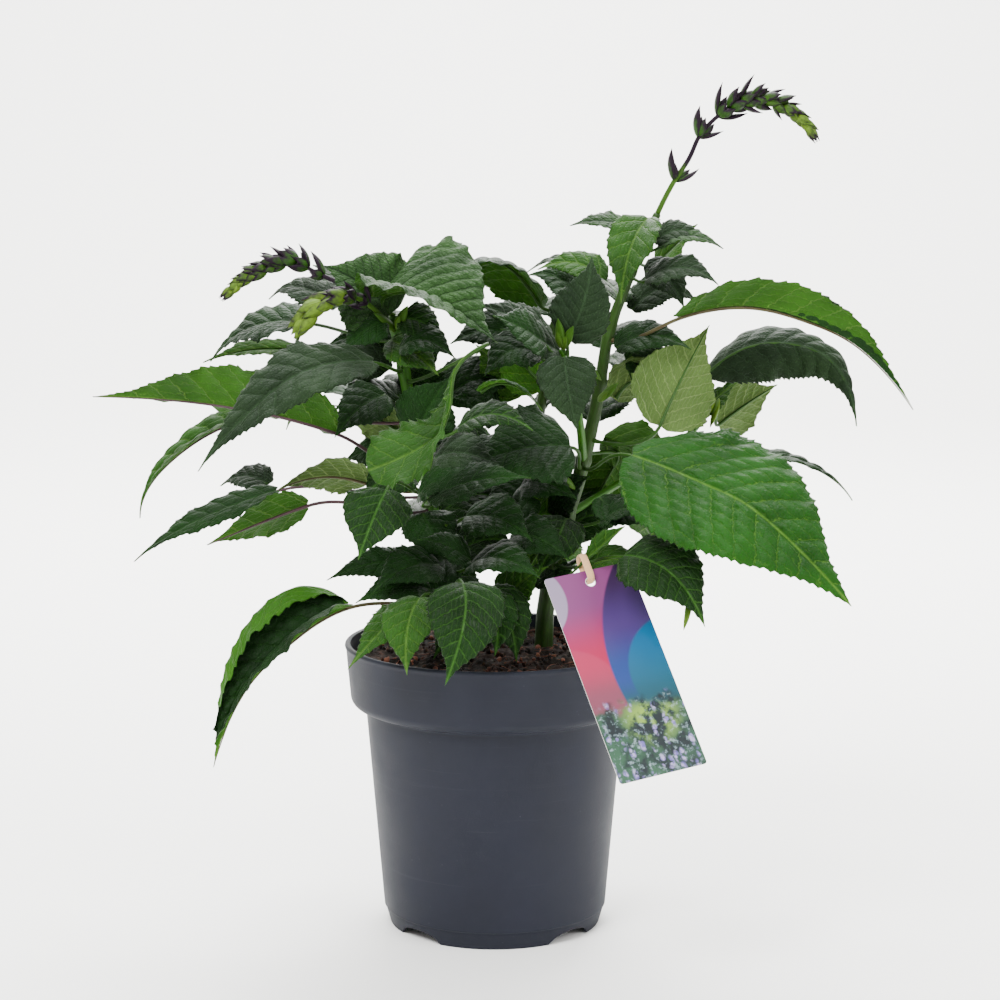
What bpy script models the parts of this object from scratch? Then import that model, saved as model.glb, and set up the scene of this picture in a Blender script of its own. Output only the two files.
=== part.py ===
"""Potted salvia: a nursery pot, its soil, five stems, three flower spikes in bud,
48 leaves and a plant label on an elastic tie.

Sizes and places are in millimetres, and MM turns them into Blender's metres. The
origin is on the ground under the middle of the pot, +Z is up and -Y is the front.
"""

import math
from collections import namedtuple

import bpy
import numpy as np
from mathutils import Euler, Vector

MM = 0.001
GAP = 0.4  # clearance between two pieces that touch
SHARP_ANGLE = math.radians(60.0)  # edges that turn more than this are shaded sharp

# Pot
POT_HEIGHT = 163.0
RIM_RADIUS = 85.0
WALL = 1.6
LIP_RADIUS = 1.2  # how far the lip's two corners are rounded off
COLLAR_HEIGHT = 38.0
COLLAR_DRAFT = 2.6  # how far the collar tapers in on its way down
SHOULDER = 8.0  # height of the bend from the collar to the body
BODY_TOP_RADIUS = 73.4
BODY_BOTTOM_RADIUS = 64.0
FOOT_HEIGHT = 9.0
FOOT_RADIUS = 60.5
BASE_THICKNESS = 2.0
POT_SIDES = 48

# Drainage: the feet are what the arches leave of the foot ring
FOOT_COUNT = 4
ARCH_HEIGHT = 6.0
ARCH_HALF_ANGLE = math.radians(14.0)
DRAIN_HOLE_RADIUS = 4.5
DRAIN_HOLE_INSET = 13.0  # from the foot's outer edge to the middle of a hole

# Soil
SOIL_BELOW_RIM = 8.5  # at the wall
SOIL_MOUND = 3.5  # how much higher the middle is
SOIL_RINGS = 4
SOIL_SIDES = 28

# Leaves and stems
PETIOLE_RADIUS = 1.15
BLADE_HALF_THICKNESS = 0.45
RIB_DEPTH = 0.35  # how far the midrib stands out below the blade
PETIOLE_STATIONS = 3
BLADE_STATIONS = 8
STEM_SIDES = 8
STEM_STATIONS = 14

# Flower spikes
SPIKE_SIDES = 10
SPIKE_STEP = 2.6  # between two stations
RACHIS_RADIUS = 1.5

# Label
LABEL_WIDTH = 50.0
LABEL_LENGTH = 123.0
LABEL_THICKNESS = 0.6
LABEL_CORNER = 1.5
LABEL_TOP = Vector((49.838, -60.829, 213.991))  # the middle of its top edge
LABEL_TURN = Euler((math.radians(-38.0), math.radians(-8.0), math.radians(20.3)))
HOLE_RADIUS = 2.6
HOLE_FROM_TOP = 7.0
TIE_RADIUS = 1.0
TIE_SLACK = 2.4  # free space inside the loop, around the petiole
TIE_REACH = 5.5  # from the label's top edge up to the petiole that it hangs from
TIE_SIDES = 8
STRAP_LEAD = 5.0  # how far before the tie the strap leaf's thin blade starts

# A stem: where it starts, its further points, and its radius at the bottom and at the top.
# It starts on the soil at (x, y), or on another stem's side at a height.
Stem = namedtuple("Stem", "start points bottom top")
STEMS = {
    "stem_left": Stem(
        (-27, -8), [(-34, -10, 232), (-43, -12, 281), (-52, -12, 325), (-56, -12, 349)], 3.9, 2.6
    ),
    "stem_right": Stem(
        (28, 5),
        [(33, 5, 206), (49, 5, 260), (58, 5, 300), (63, 5, 333), (71, 5, 358), (91, 5, 405)],
        4.6,
        1.9,
    ),
    "stem_back": Stem((10, 32), [(20, 40, 238), (29, 46, 308), (38, 48, 354)], 3.4, 2.0),
    "stem_centre": Stem(
        ("stem_right", 266), [(47, -20, 292), (42, -26, 315), (37, -30, 332)], 2.2, 1.6
    ),
    "branch_right": Stem(
        ("stem_right", 236), [(84, 32, 257), (116, 37, 280), (126, 36, 297), (141, 34, 311)], 2.0, 1.3
    ),
}

# A spike: its stem, the height on that stem's side where it starts, or None where it continues
# the stem, its further points, and its whorls of buds. Each whorl has its place along the spike,
# how far it stands out, its half length and its count of lobes.
Whorl = namedtuple("Whorl", "place reach spread lobes")
Spike = namedtuple("Spike", "stem height points whorls")


def dense_whorls(first, last, count, reach, lobes):
    """Whorls an equal step apart that shrink by half towards the tip."""
    step = (last - first) / (count - 1)
    return [
        Whorl(first + i * step, reach * (1 - 0.5 * i / (count - 1)), 0.36 * step, lobes)
        for i in range(count)
    ]


SPIKES = {
    "spike_right": Spike(
        "stem_right",
        None,
        [(99, 5, 421), (108, 5, 435), (114, 5, 448), (122, 5, 457), (133, 4, 465),
         (147, 2, 468), (161, 0, 463), (172, -2, 454), (178, -3, 447)],
        [Whorl(20, 8.5, 4.5, 2), Whorl(48, 9.0, 4.5, 2)] + dense_whorls(62, 122, 8, 8.0, 4),
    ),
    "spike_left": Spike(
        "stem_left",
        None,
        [(-75, -2, 361), (-100, 6, 372), (-113, 8, 378), (-132, 8, 373), (-152, 8, 359)],
        [Whorl(48, 5.0, 3.5, 2)] + dense_whorls(62, 100, 6, 6.5, 4),
    ),
    "spike_front": Spike(
        "stem_left",
        341,
        [(-70, -28, 357), (-81, -37, 361), (-94, -42, 357), (-104, -44, 345), (-109, -45, 330)],
        [Whorl(24, 4.5, 3.5, 2)] + dense_whorls(36, 66, 5, 7.5, 4),
    ),
}

# A leaf: its stem and the height it grows from, the points of its midrib from the blade's
# base to its tip, its width, the way its upper face looks at the middle, the angles at which
# its two halves rise from the midrib, how much further they turn up towards the margins,
# its twist from base to tip, how far along it is widest, and its fullness: the lower, the
# more quickly it widens from its base. Angles are in degrees. Seen along the midrib with the
# upper face up, the first half is the left one.
Leaf = namedtuple("Leaf", "stem height rib width facing folds curl twist widest fullness")
LEAF_USUAL = {"folds": (12, 12), "curl": -18, "twist": 0, "widest": 0.36, "fullness": 0.6}


def leaf(stem, height, rib, width, facing, **changes):
    return Leaf(stem, height, rib, width, facing, **{**LEAF_USUAL, **changes})


LEAVES = {
    # at the top of the left stem
    "leaf_left_crown_broad": leaf(
        "stem_left", 345, [(-62, -18, 359), (-34, -40, 359), (1, -64, 339)],
        68, (-1, -8, 6), folds=(2, 65), widest=0.27,
    ),
    "leaf_left_crown_far": leaf(
        "stem_left", 342, [(-63, 10, 352), (-84, 32, 366), (-106, 54, 374)], 50, (0, -5, 8)
    ),
    "leaf_left_arched_high": leaf(
        "stem_left", 335, [(-111, 42, 342), (-143, 54, 337), (-167, 58, 317)], 42, (0, -4, 9)
    ),
    "leaf_left_far_narrow": leaf(
        "stem_left", 326, [(-108, 68, 322), (-142, 80, 323), (-175, 88, 314)], 30, (0, 4, 9)
    ),
    "leaf_left_front_arch": leaf(
        "stem_left", 319, [(-66, -48, 327), (-103, -74, 323), (-134, -86, 299), (-157, -90, 272)],
        40, (-2, -7, 6),
    ),
    # at the middle of the left stem
    "leaf_left_long": leaf(
        "stem_left", 262, [(-87, -12, 283), (-150, -8, 298), (-228, 8, 302)],
        56, (0, 9, 4), folds=(8, 60), curl=0,
    ),
    "leaf_left_drooping": leaf(
        "stem_left", 290, [(-134, 34, 288), (-168, 40, 276), (-197, 36, 252), (-206, 32, 228)],
        28, (-3, -4, 8), folds=(30, 30),
    ),
    "leaf_left_low_dark": leaf(
        "stem_left", 248, [(-124, 4, 249), (-172, -6, 231), (-204, -10, 210)], 26, (0, -4, 9)
    ),
    "leaf_left_low_pale": leaf(
        "stem_left", 252, [(-71, -24, 257), (-96, -34, 262), (-120, -40, 255)], 32, (0, 7, 7)
    ),
    "leaf_left_low_smooth": leaf(
        "stem_left", 240, [(-102, -52, 249), (-126, -60, 241), (-156, -66, 229)], 34, (0, 7, 7)
    ),
    "leaf_front_dark_drop": leaf(
        "stem_left", 250, [(-58, -72, 260), (-65, -88, 245), (-72, -98, 226)], 38, (-1, -8, 4)
    ),
    "leaf_front_twisted": leaf(
        "stem_left", 312,
        [(-9, -76, 337), (-20, -86, 321), (-23, -96, 298), (-36, -102, 278), (-56, -106, 264)],
        46, (-5, -7, 3), folds=(20, 20), twist=-60, widest=0.78, fullness=2.2,
    ),
    "leaf_front_dark_right": leaf(
        "stem_left", 244, [(-35, -56, 254), (-9, -70, 265), (20, -82, 268)], 32, (0, -6, 8)
    ),
    "leaf_centre_veined": leaf(
        "stem_left", 284, [(-19, -56, 292), (0, -66, 300), (21, -74, 292)], 28, (0, -5, 8)
    ),
    # low on the left stem
    "leaf_front_left_folded": leaf(
        "stem_left", 188, [(-82, -48, 191), (-107, -62, 178), (-135, -76, 151), (-152, -84, 110)],
        70, (-6, -8, 4), folds=(45, 45), widest=0.27,
    ),
    "leaf_front_mid_dark": leaf(
        "stem_left", 226, [(-16, -36, 240), (3, -50, 241), (21, -62, 230)], 34, (0, -7, 7)
    ),
    "leaf_front_low_dark": leaf(
        "stem_left", 206, [(-14, -44, 214), (4, -62, 221), (25, -80, 213)], 32, (0, -6, 8)
    ),
    "leaf_front_low_veined": leaf(
        "stem_left", 180, [(-17, -82, 211), (-16, -106, 194), (-26, -114, 162)], 42, (0, -8, 5)
    ),
    "leaf_front_low_bright": leaf(
        "stem_left", 184, [(-40, -76, 202), (-46, -96, 189), (-46, -108, 166)], 32, (-2, -8, 5)
    ),
    "leaf_front_low_narrow": leaf(
        "stem_left", 176, [(-46, -60, 195), (-60, -84, 186), (-78, -102, 168)], 24, (-3, -7, 6)
    ),
    # at the top of the right stem
    "leaf_right_crown_folded": leaf(
        "stem_right", 399, [(85, -8, 403), (74, -26, 385), (69, -34, 357)],
        30, (-3, -8, 2), folds=(25, 25),
    ),
    "leaf_right_crown_left": leaf(
        "stem_right", 392, [(80, 4, 396), (60, -8, 401), (41, -16, 399)], 22, (0, -5, 8)
    ),
    "leaf_right_crown_forked": leaf(
        "stem_right", 384, [(91, 0, 387), (108, -6, 393), (127, -12, 386)], 20, (0, -4, 9)
    ),
    "leaf_right_crown_far": leaf(
        "stem_right", 378, [(92, 28, 377), (105, 38, 388), (117, 48, 398)], 30, (0, 7, 6)
    ),
    "leaf_right_crown_dark": leaf(
        "stem_right", 370, [(84, -10, 369), (104, -20, 376), (123, -28, 367)], 26, (0, -6, 8)
    ),
    # at the middle of the right stem
    "leaf_right_long_arch": leaf(
        "stem_right", 335,
        [(103, -16, 349), (136, -24, 355), (167, -30, 349), (200, -35, 333), (230, -38, 299)],
        40, (0, 0, 9), folds=(60, 72), curl=0,
    ),
    "leaf_right_pale_up": leaf(
        "stem_right", 278, [(92, -14, 288), (105, -6, 315), (121, 6, 343)], 54, (-1, 9, 3), widest=0.3
    ),
    "leaf_right_vivid": leaf(
        "stem_right", 262, [(76, -50, 276), (110, -80, 264), (138, -106, 252), (180, -127, 212)],
        82, (2, -9, 5), folds=(2, 2), curl=-12, widest=0.36,
    ),
    "leaf_centre_dark_big": leaf(
        "stem_right", 262, [(42, -26, 278), (16, -36, 278), (-13, -44, 270)], 58, (0, -7, 7)
    ),
    "leaf_right_hooked": leaf(
        "branch_right", 308, [(122, 30, 314), (155, 28, 331), (191, 20, 322), (206, 12, 284)],
        44, (0, -1, 8), folds=(-85, -20), curl=0,
    ),
    "leaf_right_round_pale": leaf(
        "branch_right", 298, [(131, 54, 281), (149, 62, 293), (167, 68, 303)], 40, (0, 8, 5)
    ),
    # low on the right stem
    "leaf_right_low_veined": leaf(
        "stem_right", 207, [(70, -70, 224), (94, -94, 218), (111, -108, 192)], 44, (1, -8, 5)
    ),
    "leaf_right_low_pale": leaf(
        "stem_right", 230, [(78, 0, 240), (100, -4, 240), (128, -8, 227)], 32, (0, 7, 7)
    ),
    "leaf_right_low_under": leaf(
        "stem_right", 270, [(71, 36, 262), (63, 44, 246), (53, 50, 228)], 42, (0, 9, 1)
    ),
    # on the centre shoot
    "leaf_centre_rugose": leaf(
        "stem_centre", 327, [(40, -36, 338), (49, -40, 360), (53, -34, 384)], 34, (0, -9, 2)
    ),
    "leaf_centre_left": leaf(
        "stem_centre", 325, [(28, -42, 336), (14, -54, 346), (-1, -62, 353)], 32, (0, -7, 7)
    ),
    "leaf_centre_down": leaf(
        "stem_centre", 321, [(38, -48, 329), (40, -60, 312), (45, -66, 290)],
        34, (0, -9, 3), folds=(25, 25),
    ),
    "leaf_centre_olive": leaf(
        "stem_centre", 312, [(26, -20, 327), (10, -24, 331), (-6, -30, 317)], 34, (0, -6, 8)
    ),
    # on the back stem and behind
    "leaf_back_crown_arch": leaf(
        "stem_back", 347, [(26, 42, 352), (-3, 24, 379), (-36, 4, 362)], 44, (0, 3, 9), folds=(-15, -15)
    ),
    "leaf_back_crown_right": leaf(
        "stem_back", 349, [(55, 54, 369), (38, 66, 377), (18, 76, 368)], 20, (0, -3, 9)
    ),
    "leaf_back_high": leaf(
        "stem_back", 338, [(26, 70, 344), (36, 102, 350), (48, 134, 322)], 50, (0, 1, 9)
    ),
    "leaf_back_right_high": leaf(
        "stem_right", 310, [(76, 40, 314), (100, 76, 318), (122, 108, 284)], 48, (1, 2, 9)
    ),
    "leaf_back_left_high": leaf(
        "stem_left", 300, [(-74, 34, 296), (-102, 78, 304), (-128, 116, 270)], 48, (-1, 2, 9)
    ),
    "leaf_back_middle": leaf(
        "stem_back", 262, [(8, 66, 262), (-16, 100, 266), (-34, 130, 232)], 48, (0, 3, 9)
    ),
    "leaf_back_right_low": leaf(
        "stem_right", 218, [(68, 56, 222), (86, 86, 222), (102, 114, 188)], 44, (1, 3, 9)
    ),
    "leaf_back_left_low": leaf(
        "stem_left", 220, [(-44, 40, 226), (-62, 80, 228), (-78, 112, 194)], 44, (-1, 3, 9)
    ),
    "leaf_back_low": leaf(
        "stem_back", 192, [(22, 66, 196), (34, 98, 198), (44, 126, 166)], 44, (0, 3, 9)
    ),
}


def material(name, colour, roughness, metallic=0.0):
    """A Principled material with the piece's base colour as linear RGB."""
    made = bpy.data.materials.new(name)
    made.use_nodes = True
    shader = made.node_tree.nodes["Principled BSDF"]
    shader.inputs["Base Color"].default_value = (*colour, 1.0)
    shader.inputs["Roughness"].default_value = roughness
    shader.inputs["Metallic"].default_value = metallic
    return made


def add_object(name, points, faces, finish):
    """An object from points in millimetres, smooth where its faces meet at a low angle."""
    mesh = bpy.data.meshes.new(name)
    mesh.from_pydata((np.asarray(points, float) * MM).tolist(), [], faces)
    mesh.shade_smooth()
    mesh.set_sharp_from_angle(angle=SHARP_ANGLE)
    mesh.materials.append(finish)
    made = bpy.data.objects.new(name, mesh)
    bpy.context.scene.collection.objects.link(made)
    return made


def unit(vectors):
    return vectors / np.linalg.norm(vectors, axis=-1, keepdims=True)


def resample(points, count):
    """The same line as count points an equal length apart."""
    lengths = np.linalg.norm(np.diff(points, axis=0), axis=1)
    along = np.concatenate([[0.0], np.cumsum(lengths)])
    wanted = np.linspace(0.0, along[-1], count)
    return np.column_stack([np.interp(wanted, along, points[:, axis]) for axis in range(3)])


def smooth_path(points, count):
    """A Catmull-Rom curve through three or more points, as count points an equal length apart."""
    given = np.array(points, float)
    before = 3 * given[0] - 3 * given[1] + given[2]
    after = 3 * given[-1] - 3 * given[-2] + given[-3]
    held = np.vstack([before, given, after])
    t = np.linspace(0.0, 1.0, 24, endpoint=False)[:, None]
    stretches = [
        0.5 * (2 * b + (c - a) * t + (2 * a - 5 * b + 4 * c - d) * t**2 + (3 * b - a - 3 * c + d) * t**3)
        for a, b, c, d in zip(held, held[1:], held[2:], held[3:])
    ]
    return resample(np.vstack([*stretches, given[-1:]]), count)


def frames(path, facing, level):
    """Normals and sideways vectors, each one unit long, along a path.

    The normal is the facing direction at station number level, and elsewhere that normal
    turned by the smallest rotation that takes one tangent to the other.
    """
    steps = unit(np.diff(path, axis=0))
    tangent = unit(np.vstack([steps[:1], steps[:-1] + steps[1:], steps[-1:]]))
    facing = unit(np.array(facing, float))
    start = tangent[level]
    normal = unit(facing - facing.dot(start) * start)
    share = (tangent @ normal) / (1 + tangent @ start)
    normals = unit(normal - share[:, None] * (start + tangent))
    return normals, np.cross(tangent, normals)


def loft(name, rings, finish, tip=None):
    """A closed skin over rings of points, which run counter-clockwise seen against the path.

    It ends in a flat cap, or in a point where a tip is given.
    """
    stations, sides, _ = rings.shape
    index = np.arange(stations * sides).reshape(stations, sides)
    after = np.roll(index, -1, axis=1)
    faces = np.stack([index[:-1], after[:-1], after[1:], index[1:]], axis=-1).reshape(-1, 4).tolist()
    faces.append(index[0, ::-1].tolist())
    points = rings.reshape(-1, 3)
    if tip is None:
        faces.append(index[-1].tolist())
    else:
        faces += [[int(a), int(b), len(points)] for a, b in zip(index[-1], after[-1])]
        points = np.vstack([points, tip])
    return add_object(name, points, faces, finish)


def turned(name, profile, sides, finish):
    """A closed outline of (radius, height) points turned about the Z axis.

    The outline runs down its outer side, and starts and ends on the axis.
    """
    mesh = bpy.data.meshes.new(name)
    points = [(radius * MM, 0.0, height * MM) for radius, height in profile]
    mesh.from_pydata(points, [(i, i + 1) for i in range(len(points) - 1)], [])
    mesh.materials.append(finish)
    made = bpy.data.objects.new(name, mesh)
    bpy.context.scene.collection.objects.link(made)
    screw = made.modifiers.new("turn", "SCREW")
    screw.steps = sides
    screw.render_steps = sides
    screw.use_merge_vertices = True
    screw.merge_threshold = 0.00005
    screw.use_smooth_shade = True
    return made


def cut(target, cutters):
    """Takes the cutters out of the target. They stay as wire guides that aren't part of the object."""
    for cutter in cutters:
        cutter.hide_render = True
        cutter.display_type = "WIRE"
        taken = target.modifiers.new("cut_" + cutter.name, "BOOLEAN")
        taken.operation = "DIFFERENCE"
        taken.solver = "EXACT"
        taken.object = cutter


def inner_radius(height):
    """The radius of the inside of the pot at a height."""
    collar_foot = POT_HEIGHT - COLLAR_HEIGHT
    heights = [FOOT_HEIGHT, collar_foot, collar_foot + SHOULDER, POT_HEIGHT]
    radii = [BODY_BOTTOM_RADIUS, BODY_TOP_RADIUS, RIM_RADIUS - COLLAR_DRAFT, RIM_RADIUS]
    return float(np.interp(height, heights, radii)) - WALL


def make_pot(finish):
    collar_foot = POT_HEIGHT - COLLAR_HEIGHT
    collar_bottom = RIM_RADIUS - COLLAR_DRAFT
    half = SHOULDER / 2
    outer = [
        (RIM_RADIUS - LIP_RADIUS, POT_HEIGHT),
        (RIM_RADIUS, POT_HEIGHT - LIP_RADIUS),
        (collar_bottom, collar_foot + SHOULDER),
        (collar_bottom - 0.15 * SHOULDER, collar_foot + half),
        (BODY_TOP_RADIUS + 0.3 * half, collar_foot + 0.2 * half),
        (BODY_TOP_RADIUS, collar_foot),
        (BODY_BOTTOM_RADIUS, FOOT_HEIGHT),
        (FOOT_RADIUS, 0.0),
        (FOOT_RADIUS - WALL, 0.0),
        (FOOT_RADIUS - WALL, FOOT_HEIGHT - BASE_THICKNESS),
        (0.0, FOOT_HEIGHT - BASE_THICKNESS),
    ]
    inner = [
        (0.0, FOOT_HEIGHT),
        (BODY_BOTTOM_RADIUS - WALL, FOOT_HEIGHT),
        (BODY_TOP_RADIUS - WALL, collar_foot),
        (BODY_TOP_RADIUS - WALL + 0.3 * half, collar_foot + half),
        (collar_bottom - WALL, collar_foot + SHOULDER),
        (RIM_RADIUS - WALL, POT_HEIGHT - LIP_RADIUS / 2),
    ]
    pot = turned("pot", inner + outer, POT_SIDES, finish)
    cut(pot, arch_cutters() + drain_cutters())
    return pot


def ring_of(radius, sides):
    """Directions in a plane, an equal angle apart, as (first axis, second axis) pairs."""
    angles = np.arange(sides) * 2 * math.pi / sides
    return radius * np.column_stack([np.cos(angles), np.sin(angles)])


def arch_cutters():
    """One block for each arch between two feet, wider at the ground than at its top."""
    half_width = FOOT_RADIUS * math.tan(ARCH_HALF_ANGLE)
    outline = np.array(
        [
            (-half_width, -1.0),
            (half_width, -1.0),
            (0.8 * half_width, 0.65 * ARCH_HEIGHT),
            (0.5 * half_width, ARCH_HEIGHT),
            (-0.5 * half_width, ARCH_HEIGHT),
            (-0.8 * half_width, 0.65 * ARCH_HEIGHT),
        ]
    )
    cutters = []
    for number in range(FOOT_COUNT):
        angle = 2 * math.pi * (number + 0.5) / FOOT_COUNT
        outward = np.array([math.cos(angle), math.sin(angle), 0.0])
        sideways = np.array([-math.sin(angle), math.cos(angle), 0.0])
        rings = np.stack(
            [
                radius * outward + outline[:, :1] * sideways + outline[:, 1:] * np.array([0.0, 0.0, 1.0])
                for radius in (FOOT_RADIUS - 3 * WALL, BODY_BOTTOM_RADIUS + WALL)
            ]
        )
        cutters.append(loft(f"arch_{number + 1}", rings, None))
    return cutters


def drain_cutters():
    """One upright rod for each hole in the base, beside every arch and above every foot."""
    circle = ring_of(DRAIN_HOLE_RADIUS, 12)
    cutters = []
    for number in range(2 * FOOT_COUNT):
        angle = math.pi * number / FOOT_COUNT
        middle = (FOOT_RADIUS - DRAIN_HOLE_INSET) * np.array([math.cos(angle), math.sin(angle)])
        rings = np.stack(
            [
                np.column_stack([circle + middle, np.full(len(circle), height)])
                for height in (FOOT_HEIGHT - 2 * BASE_THICKNESS, FOOT_HEIGHT + BASE_THICKNESS)
            ]
        )
        cutters.append(loft(f"drain_{number + 1}", rings, None))
    return cutters


def soil_height(distance):
    """The height of the soil's surface at a distance from the pot's axis."""
    edge = inner_radius(POT_HEIGHT - SOIL_BELOW_RIM)
    return POT_HEIGHT - SOIL_BELOW_RIM + SOIL_MOUND * (1 - (distance / edge) ** 2)


def make_soil(finish):
    """The soil fills the pot: it follows the wall, and its surface is a low mound."""
    collar_foot = POT_HEIGHT - COLLAR_HEIGHT
    wall_line = [
        (BODY_BOTTOM_RADIUS - WALL, FOOT_HEIGHT + GAP),
        (BODY_TOP_RADIUS - WALL, collar_foot),
        (BODY_TOP_RADIUS - WALL + 0.15 * SHOULDER, collar_foot + SHOULDER / 2),
        (inner_radius(collar_foot + SHOULDER), collar_foot + SHOULDER + GAP),
    ]
    edge = inner_radius(POT_HEIGHT - SOIL_BELOW_RIM) - GAP
    surface = [edge * (1 - ring / SOIL_RINGS) for ring in range(SOIL_RINGS)]
    stations = [(radius - GAP, height) for radius, height in wall_line]
    stations += [(radius, soil_height(radius)) for radius in surface]
    circle = ring_of(1.0, SOIL_SIDES)
    rings = np.stack(
        [np.column_stack([radius * circle, np.full(SOIL_SIDES, height)]) for radius, height in stations]
    )
    return loft("potting_soil", rings, finish)


def stem_line(name):
    """A stem's axis from its lower end up, its radius at each point, and the way it starts out."""
    stem = STEMS[name]
    if isinstance(stem.start[0], str):
        parent, height = stem.start
        start, out = side_point(parent, height, stem.points[0])
    else:
        x, y = stem.start
        nearest = max(0.0, math.hypot(x, y) - stem.bottom)
        start = np.array([x, y, soil_height(nearest) + GAP])
        out = np.array([0.0, 0.0, 1.0])
    path = smooth_path([start, *stem.points], STEM_STATIONS)
    return path, np.linspace(stem.bottom, stem.top, STEM_STATIONS), out


def side_point(stem, height, towards):
    """The point just off a stem's side at a height, and the direction straight out of it there."""
    path, radii, _ = stem_line(stem)
    axis = np.array([np.interp(height, path[:, 2], path[:, k]) for k in range(3)])
    radius = float(np.interp(height, path[:, 2], radii))
    station = int(np.clip(np.searchsorted(path[:, 2], height), 1, len(path) - 1))
    along = unit(path[station] - path[station - 1])
    out = np.array(towards, float) - axis
    out = unit(out - out.dot(along) * along)
    return axis + out * (radius + GAP), out


def seat(ring, start, out):
    """The ring laid flat against the surface that it grows from, square to the way out of it."""
    return ring - ((ring - start) @ out)[:, None] * out


def make_stem(name, finish):
    path, radii, out = stem_line(name)
    normals, sideways = frames(path, (0.0, -1.0, 0.0), len(path) // 2)
    circle = ring_of(1.0, STEM_SIDES)
    around = circle[None, :, :1] * normals[:, None, :] + circle[None, :, 1:] * sideways[:, None, :]
    rings = path[:, None, :] + radii[:, None, None] * around
    rings[0] = seat(rings[0], path[0], out)
    return loft(name, rings, finish)


def make_spike(name, finish):
    """The rachis as a thin tube that swells into lobes at each whorl of buds."""
    spike = SPIKES[name]
    if spike.height is None:
        stem_path = stem_line(spike.stem)[0]
        out = unit(stem_path[-1] - stem_path[-2])
        start = stem_path[-1] + GAP * out
    else:
        start, out = side_point(spike.stem, spike.height, spike.points[0])
    rough = smooth_path([start, *spike.points], 100)
    length = float(np.linalg.norm(np.diff(rough, axis=0), axis=1).sum())
    stations = int(length / SPIKE_STEP)
    path = resample(rough, stations)
    along = np.linspace(0.0, length, stations)[:, None]
    angle = (np.arange(SPIKE_SIDES) * 2 * math.pi / SPIKE_SIDES)[None, :]
    radius = RACHIS_RADIUS * (1 - 0.4 * along / length) + 0 * angle
    for number, whorl in enumerate(spike.whorls):
        turn = math.pi / 2 if whorl.lobes == 2 else math.pi / whorl.lobes * (number % 2)
        lobe = 0.35 + 0.65 * np.cos(whorl.lobes / 2 * (angle - turn)) ** 2
        radius = radius + whorl.reach * lobe * np.exp(-(((along - whorl.place) / whorl.spread) ** 2))
    normals, sideways = frames(path, (0.0, -1.0, 0.0), stations // 2)
    around = (
        np.cos(angle)[..., None] * normals[:, None, :]
        + np.sin(angle)[..., None] * sideways[:, None, :]
    )
    rings = path[:, None, :] + radius[..., None] * around
    rings[0] = seat(rings[0], start, out)
    return loft(name, rings, finish)


def petiole_path(start, out, base, heading):
    """A Bezier curve that leaves the stem straight out and runs into the midrib."""
    reach = 0.35 * np.linalg.norm(base - start)
    handles = [start, start + reach * out, base - reach * heading, base]
    t = np.linspace(0.0, 1.0, PETIOLE_STATIONS + 1)[:, None]
    weights = [(1 - t) ** 3, 3 * t * (1 - t) ** 2, 3 * t**2 * (1 - t), t**3]
    return sum(weight * handle for weight, handle in zip(weights, handles))


def leaf_rings(spec):
    """Eight points around each station of a leaf, and its tip.

    The petiole is round. In the blade, each half is an arc that leaves the midrib at the fold
    angle and turns by the curl angle to the margin, where the upper and lower faces meet. The
    half width at a share u of the way along is (u/m)^a ((1-u)/(1-m))^b, where it is widest at m.
    """
    rib = smooth_path(spec.rib, BLADE_STATIONS + 1)
    start, out = side_point(spec.stem, spec.height, rib[0])
    petiole = petiole_path(start, out, rib[0], unit(rib[1] - rib[0]))
    path = np.vstack([petiole[:-1], rib])
    normal, sideways = frames(path, spec.facing, PETIOLE_STATIONS + BLADE_STATIONS // 2)
    share = np.concatenate([np.zeros(PETIOLE_STATIONS), np.linspace(0.0, 1.0, BLADE_STATIONS + 1)])
    turn = np.radians(spec.twist) * (share - 0.5) * (share > 0)
    turn = turn[:, None]
    normal, sideways = (
        normal * np.cos(turn) + sideways * np.sin(turn),
        sideways * np.cos(turn) - normal * np.sin(turn),
    )
    widest = spec.widest
    fall = spec.fullness * (1 - widest) / widest
    half_width = spec.width / 2 * (share / widest) ** spec.fullness * ((1 - share) / (1 - widest)) ** fall
    spread = np.clip(half_width / PETIOLE_RADIUS - 1, 0.0, 2.0) / 2
    half_width = np.maximum(half_width, PETIOLE_RADIUS * (share < 0.5))
    thickness = PETIOLE_RADIUS + (BLADE_HALF_THICKNESS - PETIOLE_RADIUS) * spread
    rib_drop = RIB_DEPTH * spread
    shoulder = math.sqrt(0.5) + (0.5 - math.sqrt(0.5)) * spread

    def on_blade(side, out_share, face):
        """A ring's point on one half, at a share of its width, on its upper (1) or lower (-1) face."""
        fold = abs(side) * np.radians(spec.folds[0] if side < 0 else spec.folds[1]) * spread
        bend = np.radians(spec.curl) * spread * out_share
        chord = half_width * out_share * np.sinc(bend / (2 * math.pi))
        across = side * np.cos(fold + bend / 2) * chord
        rise = np.sin(fold + bend / 2) * chord
        lean = side * np.sin(fold + bend) * face * thickness
        lift = np.cos(fold + bend) * face * thickness
        if side == 0:
            rise = rise - (face < 0) * rib_drop
        return path + (across - lean)[:, None] * sideways + (rise + lift)[:, None] * normal

    corner = 0.7071 + 0.2929 * spread
    rings = np.stack(
        [
            on_blade(-1, 1.0, 0.0),
            on_blade(-1, shoulder, corner),
            on_blade(0, 0.0, 1.0),
            on_blade(1, shoulder, corner),
            on_blade(1, 1.0, 0.0),
            on_blade(1, shoulder, -corner),
            on_blade(0, 0.0, -1.0),
            on_blade(-1, shoulder, -corner),
        ],
        axis=1,
    )
    rings[0] = seat(rings[0], start, out)
    return rings[:-1], path[-1]


def make_leaf(name, finish):
    rings, tip = leaf_rings(LEAVES[name])
    return loft(name, rings, finish, tip)


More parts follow.
